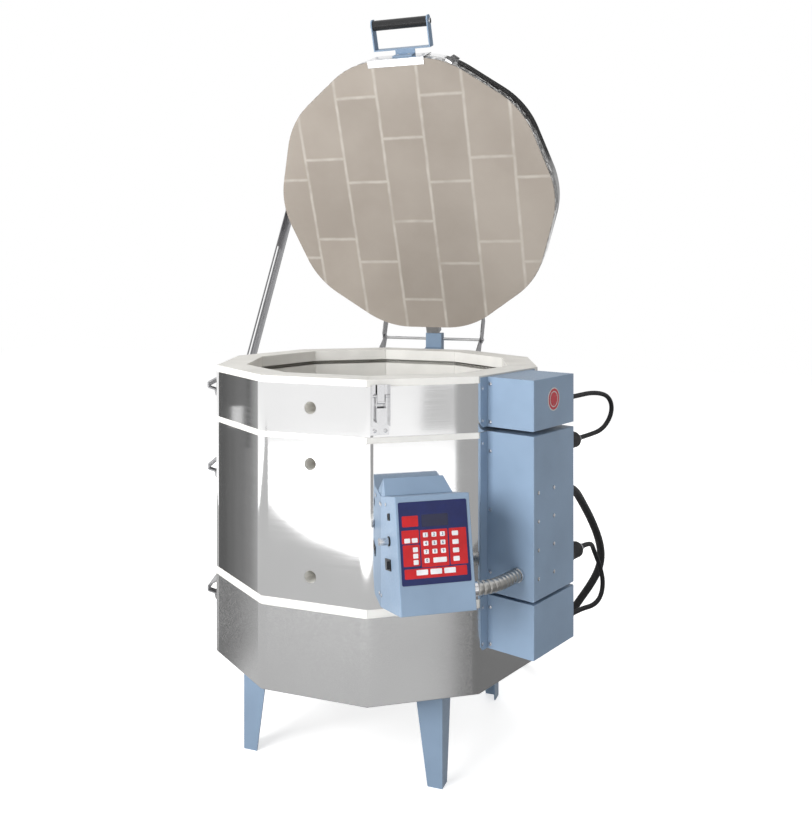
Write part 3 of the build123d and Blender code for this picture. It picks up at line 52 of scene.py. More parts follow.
up = np.array((0.0, 0.0, 1.0))
print("frame loaded:", len(nodes), "nodes")


# places on the kiln, as in the solids: out points out of a flat, along runs along it
def out(flat):
    turn = math.radians(flat)
    return np.array((math.sin(turn), -math.cos(turn), 0.0))


def along(flat):
    turn = math.radians(flat)
    return np.array((math.cos(turn), math.sin(turn), 0.0))


def place(flat, t, r, z):  # millimetres in, metres out
    return (out(flat) * r + along(flat) * t + up * z) * mm


# meshes
def pointsOf(mesh):
    points = np.empty(len(mesh.vertices) * 3)
    mesh.vertices.foreach_get("co", points)
    return points.reshape(-1, 3)


def meshPiece(name, points, faces, smooth=True):
    mesh = bpy.data.meshes.new(name)
    mesh.from_pydata(np.asarray(points, float).tolist(), [], [list(map(int, face)) for face in faces])
    mesh.update()
    mesh.polygons.foreach_set("use_smooth", np.full(len(mesh.polygons), smooth))
    piece = bpy.data.objects.new(name, mesh)
    bpy.context.scene.collection.objects.link(piece)
    return piece


def gridFaces(rows, columns, wrapRows=False, wrapColumns=False):  # quads between neighbours of a grid of points
    i = np.arange(rows if wrapRows else rows - 1)
    j = np.arange(columns if wrapColumns else columns - 1)
    i, j = [a.ravel() for a in np.meshgrid(i, j, indexing="ij")]
    iNext, jNext = (i + 1) % rows, (j + 1) % columns
    return np.stack([i * columns + j, iNext * columns + j, iNext * columns + jNext, i * columns + jNext], 1)


# a profile of (radius, height) turned about a frame's third axis: origin + radius * (cos turn * x + sin turn * y)
# + height * z, closed by a face at each end
def lathe(profile, axes, sides=32):
    origin, xWay, yWay, zWay = axes
    profile = np.asarray(profile, float) * mm
    turn = np.linspace(0, 2 * math.pi, sides, endpoint=False)
    ring = np.cos(turn)[None, :, None] * xWay + np.sin(turn)[None, :, None] * yWay
    grid = origin + ring * profile[:, 0, None, None] + zWay * profile[:, 1, None, None]
    faces = gridFaces(len(profile), sides, wrapColumns=True)[:, ::-1].tolist()
    faces.append(list(range(sides))[::-1])
    faces.append([(len(profile) - 1) * sides + k for k in range(sides)])
    return grid.reshape(-1, 3), faces


def framed(origin, zWay, xHint=(0.0, 0.0, 1.0)):  # origin and three square axes, the third along zWay
    zWay = np.asarray(zWay, float) / np.linalg.norm(zWay)
    xWay = np.asarray(xHint, float) - zWay * np.dot(xHint, zWay)
    if np.linalg.norm(xWay) < 1e-6:
        xWay = np.cross(zWay, (0.0, 1.0, 0.0))
    xWay = xWay / np.linalg.norm(xWay)
    return np.asarray(origin, float), xWay, np.cross(zWay, xWay), zWay


def gathered(name, shells, smooth=True):  # one piece from several (points, faces)
    points, faces, start = [], [], 0
    for shellPoints, shellFaces in shells:
        points.append(shellPoints)
        faces += [[start + k for k in face] for face in shellFaces]
        start += len(shellPoints)
    return meshPiece(name, np.concatenate(points), faces, smooth)


def merged(node):  # a copy of a CAD node's mesh with its loose triangles joined and its flat faces whole
    work = bmesh.new()
    work.from_mesh(nodes[node].data)
    bmesh.ops.remove_doubles(work, verts=work.verts, dist=2e-6)
    bmesh.ops.dissolve_limit(work, angle_limit=math.radians(0.6), verts=work.verts, edges=work.edges)
    return work


def finish(piece, material, body, slot, *replaced):
    piece.data.materials.clear()
    piece.data.materials.append(material)
    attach(piece, body)
    if replaced:
        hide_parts(*replaced)
    return piece


# a CAD node again with rounded edges: what turns by more than an angle gets an arc of a width in mm
def softened(node, material, width=0.6, segments=2, sharp=32):
    work = merged(node)
    mesh = bpy.data.meshes.new(node + "Soft")
    work.to_mesh(mesh)
    work.free()
    mesh.polygons.foreach_set("use_smooth", np.full(len(mesh.polygons), True))
    piece = bpy.data.objects.new(node + "Soft", mesh)
    bpy.context.scene.collection.objects.link(piece)
    edge = piece.modifiers.new("edge", "BEVEL")
    edge.width = width * mm
    edge.segments = segments
    edge.limit_method = "ANGLE"
    edge.angle_limit = math.radians(sharp)
    edge.miter_outer = "MITER_ARC"
    even = piece.modifiers.new("even", "WEIGHTED_NORMAL")
    even.weight = 100
    return finish(piece, material, bodyOf[node], slotOf[node], node)


# materials
def blank(name):
    material = bpy.data.materials.new(name)
    material.use_nodes = True
    tree = material.node_tree
    shader = tree.nodes["Principled BSDF"]
    return material, tree, shader


def add(tree, kind, links=(), **values):  # a node with its values set and its inputs linked
    made = tree.nodes.new(kind)
    for key, value in values.items():
        if key in made.inputs:
            made.inputs[key].default_value = value
        else:
            setattr(made, key, value)
    for socket, source in links:
        tree.links.new(source, made.inputs[socket])
    return made


def noise(tree, scale, detail=2.0, stretch=None):
    coords = add(tree, "ShaderNodeTexCoord").outputs["Object"]
    if stretch:
        coords = add(tree, "ShaderNodeMapping", [("Vector", coords)], Scale=stretch).outputs[0]
    return add(tree, "ShaderNodeTexNoise", [("Vector", coords)], Scale=scale, Detail=detail).outputs["Fac"]


def ramp(tree, source, stops):
    made = add(tree, "ShaderNodeValToRGB", [("Fac", source)])
    band = made.color_ramp
    band.elements[0].position, band.elements[0].color = stops[0][0], (*stops[0][1], 1)
    band.elements[1].position, band.elements[1].color = stops[-1][0], (*stops[-1][1], 1)
    for position, colour in stops[1:-1]:
        band.elements.new(position).color = (*colour, 1)
    return made.outputs["Color"]


def spread(tree, source, low, high):  # a value from 0.3..0.7 carried to low..high
    return add(tree, "ShaderNodeMapRange", [("Value", source)], **{
        "From Min": 0.3, "From Max": 0.7, "To Min": low, "To Max": high}).outputs[0]


def bump(tree, shader, source, height, strength=1.0):
    made = add(tree, "ShaderNodeBump", [("Height", source)], Strength=strength, Distance=height * mm)
    previous = shader.inputs["Normal"].links
    if previous:
        tree.links.new(previous[0].from_socket, made.inputs["Normal"])
    tree.links.new(made.outputs[0], shader.inputs["Normal"])


def tinted(colour, share):
    return tuple(min(1.0, c * share) for c in colour)


def powderCoat(name, colour):
    material, tree, shader = blank(name)
    clouds = noise(tree, 9.0, 3.0)
    tree.links.new(ramp(tree, clouds, [(0.3, tinted(colour, 0.93)), (0.7, tinted(colour, 1.06))]),
                   shader.inputs["Base Color"])
    tree.links.new(spread(tree, noise(tree, 240.0), 0.34, 0.46), shader.inputs["Roughness"])
    shader.inputs["Specular IOR Level"].default_value = 0.28
    bump(tree, shader, noise(tree, 650.0, 1.0), 0.05)  # orange peel
    return material


def sheetSteel(name, colour, roughness, wave=0.0, grain=(8.0, 8.0, 700.0)):
    material, tree, shader = blank(name)
    shader.inputs["Metallic"].default_value = 1.0
    clouds = noise(tree, 5.0, 3.0)
    tree.links.new(ramp(tree, clouds, [(0.3, tinted(colour, 0.94)), (0.7, colour)]), shader.inputs["Base Color"])
    rub = noise(tree, 1.0, 3.0, grain)
    tree.links.new(spread(tree, rub, roughness * 0.75, roughness * 1.35), shader.inputs["Roughness"])
    if wave:
        bump(tree, shader, noise(tree, 3.2, 1.0, (1.0, 1.0, 0.45)), wave)
    bump(tree, shader, rub, 0.004)
    return material


# peepholes in the front wall: grey is the painted shade inside their bores
peepholes = {"x": -0.006, "radius": 0.0133, "heights": (0.7771, 0.6656, 0.4414), "wall": (-0.3545, -0.25),
             "grey": (0.07, 0.07, 0.068)}


# firebrick: cloudy, with pores, and painted shade where sqrt((x - x0)^2 + (z - z0)^2) is less than a peephole's
# radius
def brickwork(name, colour):
    material, tree, shader = blank(name)
    clouds = noise(tree, 14.0, 4.0)
    clean = ramp(tree, clouds, [(0.25, tinted(colour, 0.9)), (0.6, colour), (0.8, tinted(colour, 1.04))])
    coords = add(tree, "ShaderNodeTexCoord").outputs["Object"]
    boreShade = None
    for height in peepholes["heights"]:
        centred = add(tree, "ShaderNodeMapping", [("Vector", coords)], Location=(-peepholes["x"], 0.3, -height),
                      Scale=(1.0, 0.0, 1.0))
        distance = add(tree, "ShaderNodeVectorMath", [(0, centred.outputs[0])], operation="LENGTH")
        here = add(tree, "ShaderNodeMath", [(0, distance.outputs["Value"])], operation="LESS_THAN")
        here.inputs[1].default_value = peepholes["radius"]
        if boreShade is not None:
            here = add(tree, "ShaderNodeMath", [(0, here.outputs[0]), (1, boreShade)], operation="MAXIMUM")
        boreShade = here.outputs[0]
    front = add(tree, "ShaderNodeSeparateXYZ", [("Vector", coords)]).outputs["Y"]
    front = add(tree, "ShaderNodeMath", [(0, front)], operation="LESS_THAN")
    front.inputs[1].default_value = peepholes["wall"][1]
    boreShade = add(tree, "ShaderNodeMath", [(0, front.outputs[0]), (1, boreShade)], operation="MULTIPLY").outputs[0]
    # the painted shade mixed in inside the peephole bores
    tinge = add(tree, "ShaderNodeMix", [("Factor", boreShade)], data_type="RGBA")
    tree.links.new(clean, tinge.inputs[6])
    tinge.inputs[7].default_value = (*peepholes["grey"], 1)
    tree.links.new(tinge.outputs[2], shader.inputs["Base Color"])
    shader.inputs["Roughness"].default_value = 0.92
    shader.inputs["Specular IOR Level"].default_value = 0.2
    pores = add(tree, "ShaderNodeTexVoronoi", [("Vector", coords)], Scale=520.0).outputs["Distance"]
    bump(tree, shader, pores, 0.35, 0.5)
    bump(tree, shader, noise(tree, 60.0, 5.0), 0.5, 0.5)
    return material


def plastic(name, colour, roughness, grainScale=900.0, grain=0.03):
    material, tree, shader = blank(name)
    clouds = noise(tree, 40.0)
    tree.links.new(ramp(tree, clouds, [(0.3, tinted(colour, 0.88)), (0.7, tinted(colour, 1.1))]),
                   shader.inputs["Base Color"])
    tree.links.new(spread(tree, noise(tree, 130.0, 3.0), roughness * 0.85, roughness * 1.15),
                   shader.inputs["Roughness"])
    bump(tree, shader, noise(tree, grainScale, 1.0), grain)
    return material


lidLayout = {  # brick face of the lid: columns across, and how far each column's cross joints are shifted
    "open": 68.4, "hinge": (0.4023, 0.862), "columnWidth": 0.1116, "firstColumn": -0.281 - 0.1116,
    "pitch": 0.2205, "shifts": (0.467, 0.520, 0.455, 0.567, 0.450, 0.509, 0.455), "joint": 0.0014,
}


# columns are floor((x - first) / width), rows (reach - shift) / pitch, and mortar is where either is nearly whole
def lidBricks(name, colour, mortar):
    s = lidLayout
    material, tree, shader = blank(name)
    coords = add(tree, "ShaderNodeTexCoord").outputs["Object"]
    hingeY, hingeZ = s["hinge"]
    moved = add(tree, "ShaderNodeVectorMath", [(0, coords)], operation="SUBTRACT")
    moved.inputs[1].default_value = (0.0, hingeY, hingeZ)
    wobble = add(tree, "ShaderNodeTexNoise", [("Vector", coords)], Scale=30.0, Detail=2.0).outputs["Color"]
    wobbled = add(tree, "ShaderNodeVectorMath", [(0, wobble)], operation="MULTIPLY_ADD")
    wobbled.inputs[1].default_value = (0.003, 0.003, 0.003)
    tree.links.new(moved.outputs[0], wobbled.inputs[2])
    parts = add(tree, "ShaderNodeSeparateXYZ", [("Vector", wobbled.outputs[0])]).outputs

    def calc(operation, a, b=None, c=None):
        made = tree.nodes.new("ShaderNodeMath")
        made.operation = operation
        for k, value in enumerate((a, b, c)):
            if value is None:
                continue
            if isinstance(value, (int, float)):
                made.inputs[k].default_value = value
            else:
                tree.links.new(value, made.inputs[k])
        return made.outputs[0]

    turn = math.radians(s["open"])
    reach = calc("ADD", calc("MULTIPLY", parts["Y"], -math.cos(turn)), calc("MULTIPLY", parts["Z"], math.sin(turn)))
    across = calc("DIVIDE", calc("SUBTRACT", parts["X"], s["firstColumn"]), s["columnWidth"])
    column = calc("FLOOR", across)
    shift = 0.0
    for k, value in enumerate(s["shifts"]):
        chosen = calc("COMPARE", column, float(k), 0.4)
        shift = calc("MULTIPLY_ADD", chosen, value, shift)
    rows = calc("DIVIDE", calc("SUBTRACT", reach, shift), s["pitch"])
    fromColumn = calc("MULTIPLY", calc("PINGPONG", across, 0.5), s["columnWidth"])
    fromRow = calc("MULTIPLY", calc("PINGPONG", rows, 0.5), s["pitch"])
    near = calc("MINIMUM", fromColumn, fromRow)
    joint = add(tree, "ShaderNodeMapRange", [("Value", near)], **{
        "From Min": s["joint"] * 0.7, "From Max": s["joint"] * 4.0, "To Min": 0.85, "To Max": 0.0}).outputs[0]
    joint = calc("MULTIPLY", joint, spread(tree, noise(tree, 26.0, 4.0), 0.35, 1.0))
    cell = add(tree, "ShaderNodeCombineXYZ", [("X", column), ("Y", calc("FLOOR", rows))]).outputs[0]
    chance = add(tree, "ShaderNodeTexWhiteNoise", [("Vector", cell)]).outputs["Value"]
    tone = ramp(tree, chance, [(0.0, tinted(colour, 0.95)), (1.0, tinted(colour, 1.05))])
    stain = ramp(tree, noise(tree, 6.0, 5.0), [(0.3, (0.86, 0.85, 0.84)), (0.7, (1.0, 1.0, 1.0))])
    stained = add(tree, "ShaderNodeMix", data_type="RGBA", blend_type="MULTIPLY")
    stained.inputs["Factor"].default_value = 1.0
    tree.links.new(tone, stained.inputs[6])
    tree.links.new(stain, stained.inputs[7])
    mixed = add(tree, "ShaderNodeMix", [("Factor", joint)], data_type="RGBA")
    tree.links.new(stained.outputs[2], mixed.inputs[6])
    mixed.inputs[7].default_value = (*mortar, 1)
    tree.links.new(mixed.outputs[2], shader.inputs["Base Color"])
    shader.inputs["Roughness"].default_value = 0.9
    shader.inputs["Specular IOR Level"].default_value = 0.2
    pores = add(tree, "ShaderNodeTexVoronoi", [("Vector", coords)], Scale=480.0).outputs["Distance"]
    bump(tree, shader, pores, 0.3, 0.5)
    bump(tree, shader, joint, 0.4, 0.6)
    return material


# the lid's band: polished, with a crinkled strip beside the brick face, where it is beaten over, and painted
# reflection on it
def reflectionPaintedBand(name, colour):
    material = sheetSteel(name, colour, 0.10, wave=0.4)
    tree = material.node_tree
    shader = tree.nodes["Principled BSDF"]
    turn = math.radians(lidLayout["open"])
    coords = add(tree, "ShaderNodeTexCoord").outputs["Object"]
    moved = add(tree, "ShaderNodeVectorMath", [(0, coords)], operation="SUBTRACT")
    moved.inputs[1].default_value = (0.0, *lidLayout["hinge"])
    height = add(tree, "ShaderNodeVectorMath", [(0, moved.outputs[0])], operation="DOT_PRODUCT")
    height.inputs[1].default_value = (0.0, math.sin(turn), math.cos(turn))
    near = add(tree, "ShaderNodeMapRange", [("Value", height.outputs["Value"])], **{
        "From Min": 0.002, "From Max": 0.012, "To Min": 1.0, "To Max": 0.0}).outputs[0]
    crinkle = noise(tree, 75.0, 3.0)
    # dark and pale blots on the strip by the brick face: a painted reflection
    paintedReflection = ramp(tree, crinkle, [(0.42, (0.30, 0.295, 0.29)), (0.52, (0.52, 0.515, 0.505)),
                                 (0.62, (0.86, 0.86, 0.85))])
    dented = add(tree, "ShaderNodeMath", [(0, crinkle), (1, near)], operation="MULTIPLY").outputs[0]
    bump(tree, shader, dented, 6.0, 0.8)
    clean = shader.inputs["Base Color"].links[0].from_socket
    mixed = add(tree, "ShaderNodeMix", [("Factor", near)], data_type="RGBA")
    tree.links.new(clean, mixed.inputs[6])
    tree.links.new(paintedReflection, mixed.inputs[7])
    tree.links.new(mixed.outputs[2], shader.inputs["Base Color"])
    return material


badgeRings = ((0.0, 0), (0.60, 0), (0.62, 1), (0.67, 1), (0.69, 0), (0.90, 0), (0.92, 1), (1.0, 1))  # share, paleness


# bare enamel badge: red with pale rings, where the distance from its middle over its radius lies in a ring
def badgeEnamel(name, colour, pale):
    material = plastic(name, colour, 0.25, grain=0.01)
    tree = material.node_tree
    shader = tree.nodes["Principled BSDF"]
    low, high = [np.array(corner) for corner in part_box("badge")]
    middle = (low + high) / 2
    coords = add(tree, "ShaderNodeTexCoord").outputs["Object"]
    centred = add(tree, "ShaderNodeMapping", [("Vector", coords)], Location=tuple(-middle * 2 / (high - low)[2]),
                  Scale=(2 / (high - low)[2],) * 3)
    share = add(tree, "ShaderNodeVectorMath", [(0, centred.outputs[0])], operation="LENGTH").outputs["Value"]
    ring = ramp(tree, share, [(at, (level,) * 3) for at, level in badgeRings])
    red = shader.inputs["Base Color"].links[0].from_socket
    mixed = add(tree, "ShaderNodeMix", [("Factor", ring)], data_type="RGBA")
    tree.links.new(red, mixed.inputs[6])
    mixed.inputs[7].default_value = (*pale, 1)
    tree.links.new(mixed.outputs[2], shader.inputs["Base Color"])
    return material


blueColour = (0.245, 0.335, 0.455)
look = {
    "blue": powderCoat("bluePowderCoat", blueColour),
    # a darker copy of the blue powder coat: painted shade on the legs, stand frame and hinge post
    "shadedBlue": powderCoat("shadedPowderCoat", tinted(blueColour, 0.84)),
    "mirror": sheetSteel("mirrorSteel", (0.86, 0.86, 0.86), 0.07, wave=0.35),
    # the lid band: polished steel, with a painted reflection on its strip by the brick face
    "band": reflectionPaintedBand("lidBandPaintedReflection", (0.86, 0.86, 0.86)),
    "satin": sheetSteel("satinSteel", (0.78, 0.78, 0.78), 0.2, wave=0.4, grain=(240.0, 240.0, 300.0)),
    "plated": sheetSteel("platedSteel", (0.74, 0.74, 0.75), 0.16, grain=(60.0, 60.0, 60.0)),
    "greyZinc": sheetSteel("greyZinc", (0.40, 0.40, 0.41), 0.32, grain=(60.0, 60.0, 60.0)),
    "pan": sheetSteel("galvanisedPan", (0.5, 0.51, 0.52), 0.4, grain=(30.0, 30.0, 30.0)),
    "brick": brickwork("firebrick", (0.83, 0.82, 0.785)),
    "innerBrick": brickwork("chamberBrick", (0.80, 0.77, 0.70)),
    # the lid's firebrick: a far darker copy of the wall firebrick, which is painted shade on the lid face
    "lidBrick": lidBricks("lidBricks", (0.372, 0.333, 0.293), (0.52, 0.485, 0.44)),
    "wire": sheetSteel("heatingWire", (0.24, 0.22, 0.20), 0.5, grain=(90.0, 90.0, 90.0)),
    "ceramic": plastic("bushingCeramic", (0.78, 0.76, 0.72), 0.55),
    "brass": sheetSteel("brass", (0.78, 0.60, 0.28), 0.25, grain=(90.0, 90.0, 90.0)),
    "black": plastic("blackPlastic", (0.010, 0.010, 0.011), 0.42),
    "rubber": plastic("cordRubber", (0.004, 0.004, 0.006), 0.62, grainScale=1500.0, grain=0.02),
    "grip": plastic("gripBlack", (0.012, 0.012, 0.013), 0.30),
    "collar": plastic("collarWhite", (0.70, 0.72, 0.75), 0.35),
    "navy": plastic("keypadNavy", (0.006, 0.012, 0.085), 0.42, grain=0.0),
    "keyRed": plastic("keypadRed", (0.50, 0.006, 0.010), 0.42, grain=0.0),
    "keyWhite": plastic("keyWhite", (0.78, 0.78, 0.80), 0.42, grain=0.0),
    "glassy": plastic("displayWindow", (0.010, 0.012, 0.045), 0.08, grain=0.0),
    "conduit": sheetSteel("conduitSteel", (0.50, 0.49, 0.47), 0.32, grain=(60.0, 60.0, 60.0)),
    "badge": badgeEnamel("badgeEnamel", (0.46, 0.014, 0.030), (0.62, 0.60, 0.60)),
}
print("materials:", len(look))

# cords: the solids' routes again, in metres, as control points of smooth lines
cordRoutes = {
    "floor": 0.0093, "boxFlat": 72, "wall": 75.0, "straight": 42.0, "level": 0.062,
    "plugOut": 6.0 + 45.0 + 8.0 + 16.0, "glandOut": 6.0 + 16.0, "supplyOut": 6.0 + 27.0,
    "upGland": (440.0, 780.0), "upPlug": (440.0, 688.0), "lowPlug": (445.0, 454.0), "lowGland": (445.0, 321.0),
    "supplyGland": (415.0, 576.0),
    "upper": ((485, 45, 782), (507, 88, 774), (517, 108, 757), (518, 116, 734), (511, 110, 711), (498, 88, 693)),
    "lower": ((491, 40, 318), (502, 68, 332), (503, 87, 359), (495, 91, 390), (484, 75, 428)),
    "supply": ((448, 49, 563), (455, 100, 525), (467, 153, 474), (477, 199, 419), (478, 234, 371), (468, 259, 329),
               (445, 285, 282), (406, 314, 220), (368, 341, 154), (328, 368, 93), (290, 397, 46), (257, 423, 19)),
    "coilStart": (0.185, 0.484), "coilHeading": 139.0, "coilStraight": 0.020, "stepTurn": 15.0,
    "coilTurns": ((118, 90), (112, 90), (106, 90), (100, 90), (60, 135)),
}


def wallEnd(gland, reach):
    r, z = gland
    return place(cordRoutes["boxFlat"], cordRoutes["wall"] + reach, r, z)


# control points of the flat coil: each arc's points lie at radius / cos(step / 2), because the line runs inside them
def coilPoints():
    s = cordRoutes
    here = np.array((*s["coilStart"], s["floor"]))
    heading = math.radians(s["coilHeading"])
    points = []
    for radius, turn in s["coilTurns"]:
        way = np.array((math.cos(heading), math.sin(heading), 0.0))
        side = np.array((-way[1], way[0], 0.0))
        centre = here + side * radius * mm
        step = math.radians(s["stepTurn"])
        angles = np.arange(0.5, turn / s["stepTurn"]) * step
        reach = radius * mm / math.cos(step / 2)
        points += [centre + (way * math.sin(a) - side * math.cos(a)) * reach for a in angles]
        here = centre + (way * math.sin(math.radians(turn)) - side * math.cos(math.radians(turn))) * radius * mm
        heading += math.radians(turn)
    way = np.array((math.cos(heading), math.sin(heading), 0.0))
    points.append(here + way * s["coilStraight"])
    return points


def cordLine(name, points, diameter):
    curve = bpy.data.curves.new(name, "CURVE")
    curve.dimensions = "3D"
    curve.bevel_depth = diameter / 2
    curve.bevel_resolution = 6
    curve.use_fill_caps = True
    line = curve.splines.new("NURBS")
    line.points.add(len(points) - 1)
    line.points.foreach_set("co", np.column_stack([np.array(points), np.ones(len(points))]).ravel())
    line.order_u = 3
    line.use_endpoint_u = True
    line.resolution_u = 8
    piece = bpy.data.objects.new(name, curve)
    bpy.context.scene.collection.objects.link(piece)
    return piece


def lineLength(piece):
    bare = piece.data.copy()
    bare.bevel_depth = 0.0
    probe = bpy.data.objects.new("probe", bare)
    mesh = bpy.data.meshes.new_from_object(probe)
    points = pointsOf(mesh)
    bpy.data.objects.remove(probe)
    return float(np.linalg.norm(np.diff(points, axis=0), axis=1).sum())


def routeOf(kind, first, firstOut, last, lastOut):
    s = cordRoutes
    points = [wallEnd(s[first], s[firstOut]), wallEnd(s[first], s[firstOut] + s["straight"])]
    points += [np.array(p) * mm for p in s[kind]]
    if last:
        points += [wallEnd(s[last], s[lastOut] + s["straight"]), wallEnd(s[last], s[lastOut])]
    return points


coilWay = math.radians(cordRoutes["coilHeading"])
coilStart = np.array((*cordRoutes["coilStart"], cordRoutes["floor"]))
levelStart = coilStart - np.array((math.cos(coilWay), math.sin(coilWay), 0.0)) * cordRoutes["level"]
supplyRoute = routeOf("supply", "supplyGland", "supplyOut", None, None) + [levelStart] + coilPoints()
cords = {
    "upperJumper": (routeOf("upper", "upGland", "glandOut", "upPlug", "plugOut"), 0.010),
    "lowerJumper": (routeOf("lower", "lowGland", "glandOut", "lowPlug", "plugOut"), 0.010),
    "supplyCord": (supplyRoute, 0.018),
}
cordStands = {"upperJumper": ("jumper_upper",), "lowerJumper": ("jumper_lower",),
              "supplyCord": ("supply_cord", "supply_coil")}
cordPieces = {}
for name, (route, diameter) in cords.items():
    line = cordLine(name, route, diameter)
    finish(line, look["rubber"], "body", "cord_rubber", *cordStands[name])
    cordPieces[name] = line
print("cords:", {name: round(lineLength(line), 4) for name, line in cordPieces.items()})


jacket = {"apothem": 0.3566, "bend": 0.0045, "bendSegments": 4, "softZone": 0.016, "zoneCuts": (1.0, 0.5),
          "cornerFrom": 0.3745, "skinFrom": 0.3558, "flatFrom": 0.34, "longEdge": 0.05}


# a jacket again: its upright corners bent, and its normals turned gently over a zone each side of a corner,
# as the normal's azimuth = flat + 18 degrees * (how far into the zone the point's azimuth lies)
def wrapped(node, material):
    work = merged(node)
    corners = []
    for edge in work.edges:
        a, b = (v.co for v in edge.verts)
        if abs(a.z - b.z) > jacket["longEdge"] and (a.xy - b.xy).length < 1e-5 and a.xy.length > jacket["cornerFrom"]:
            corners.append(edge)
    bmesh.ops.bevel(work, geom=corners, offset=jacket["bend"], segments=jacket["bendSegments"], profile=0.5,
                    affect="EDGES", clamp_overlap=True)
    half = jacket["apothem"] * math.tan(math.radians(18))
    for flat in range(0, 360, 36):
        for share in jacket["zoneCuts"]:
            for sign in (-1, 1):
                way = along(flat) * sign
                near = [f for f in work.faces if f.calc_center_median().dot(Vector(out(flat))) > jacket["flatFrom"]]
                parts = {e for f in near for e in f.edges} | {v for f in near for v in f.verts}
                bmesh.ops.bisect_plane(work, geom=near + list(parts), dist=1e-6, plane_no=way,
                                       plane_co=way * (half - jacket["softZone"] * share))
    mesh = bpy.data.meshes.new(node + "Sheet")
    work.to_mesh(mesh)
    work.free()
    mesh.polygons.foreach_set("use_smooth", np.full(len(mesh.polygons), True))
    mesh.normals_split_custom_set(bentNormals(mesh).tolist())
    piece = bpy.data.objects.new(node + "Sheet", mesh)
    bpy.context.scene.collection.objects.link(piece)
    return finish(piece, material, bodyOf[node], slotOf[node], node)


def bentNormals(mesh):
    points = pointsOf(mesh)
    corner = np.empty(len(mesh.loops), int)
    mesh.loops.foreach_get("vertex_index", corner)
    faceNormal = np.empty(len(mesh.polygons) * 3)
    mesh.polygons.foreach_get("normal", faceNormal)
    sides = np.empty(len(mesh.polygons), int)
    mesh.polygons.foreach_get("loop_total", sides)
    normal = np.repeat(faceNormal.reshape(-1, 3), sides, axis=0)
    where = points[corner]
    azimuth = np.degrees(np.arctan2(where[:, 0], -where[:, 1]))
    faceAzimuth = np.degrees(np.arctan2(normal[:, 0], -normal[:, 1]))
    flat = np.round(azimuth / 36) * 36
    zone = jacket["apothem"] * math.tan(math.radians(18)) - jacket["softZone"]
    zoneStart = math.degrees(math.atan(zone / jacket["apothem"]))
    into = np.clip((np.abs(azimuth - flat) - zoneStart) / (18 - zoneStart), 0, 1)
    turned = np.radians(flat + np.sign(azimuth - flat) * 18 * into)
    away = np.abs((faceAzimuth - azimuth + 180) % 360 - 180)
    skin = (np.abs(normal[:, 2]) < 0.1) & (away < 21) & (np.hypot(where[:, 0], where[:, 1]) > jacket["skinFrom"])
    bent = np.stack([np.sin(turned), -np.cos(turned), np.zeros(len(turned))], 1)
    return np.where(skin[:, None], bent, normal)


wrapped("jacket_top", look["mirror"])
wrapped("jacket_mid", look["mirror"])
wrapped("jacket_low", look["satin"])

softParts = {
    "blue": ("box_backs", "box_cover_top", "box_cover_main", "box_cover_low", "controller_back", "controller_case",
             "controller_hood", "handle_bracket"),
    # legs, stand frame and hinge post take the darker blue, which is painted shade
    "shadedBlue": ("legs", "stand_frame", "hinge_post"),
    "greyZinc": ("hinge_arms", "hinge_brackets", "prop_arm", "prop_stud", "prop_pivot", "ring_handles"),
    "plated": ("handle_plate", "fuse_cap", "latch_base", "latch_lever", "latch_bail", "latch_strike",
               "hinge_rod", "handle_bolt", "stand_bolts", "conduit_fittings"),
    "brick": ("bricks_top", "bricks_mid", "bricks_low"),
    "black": ("panel_fittings", "rocker", "cord_entries"),
    "grip": ("handle_grip",),
    "rubber": ("jumper_plugs", "supply_plug"),
    "collar": ("plug_collars",),
    "brass": ("supply_blades",),
}
softWidths = {"blue": 0.7, "shadedBlue": 0.7, "greyZinc": 0.3, "plated": 0.35, "brick": 0.8, "black": 0.5, "grip": 0.6,
              "rubber": 0.6, "collar": 0.5, "brass": 0.3}
for kind, members in softParts.items():
    for node in members:
        softened(node, look[kind], softWidths[kind])
plainParts = {
    "pan": ("bottom_pan",), "innerBrick": ("floor_slab",), "lidBrick": ("lid_slab",),
    "ceramic": ("element_bushings", "thermocouple"), "brass": ("element_connectors",), "black": ("relays",),
}
for kind, members in plainParts.items():
    for node in members:
        nodes[node].data.materials.clear()
        nodes[node].data.materials.append(look[kind])
softened("conduit", look["conduit"], 0.2, 1)
softened("lid_band", look["band"], 0.3)
softened("badge", look["badge"], 0.3)
print("solids dressed")

# heating elements: a wound wire along each groove, twice round the chamber
windings = {"loopRadius": 300.8, "bend": 20.0, "coil": 3.3, "wire": 0.75, "pitch": 5.4, "perTurn": 9,
            "firstFlat": 72, "foot": 266.5, "course": 114.3, "courses": 5, "heights": (29.3, 83.6),
            "tailT": 14.0, "tailEnd": 384.6, "tail": 2.0}


# corner points of the wire's way: round the ten flats high, down the link, and back round them low
def elementLine(low, high):
    s = windings
    corner = s["loopRadius"] / math.cos(math.radians(18))
    start = s["tailT"] - 4
    flats = [s["firstFlat"] + 18 + 36 * k for k in range(10)]
    way = [place(s["firstFlat"], start, s["loopRadius"], high)]
    way += [place(flat, 0, corner, high) for flat in flats]
    way += [place(s["firstFlat"], -12, s["loopRadius"], high), place(s["firstFlat"], -12, s["loopRadius"], low)]
    way += [place(flat, 0, corner, low) for flat in reversed(flats)]
    way.append(place(s["firstFlat"], start, s["loopRadius"], low))
    return np.array(way)


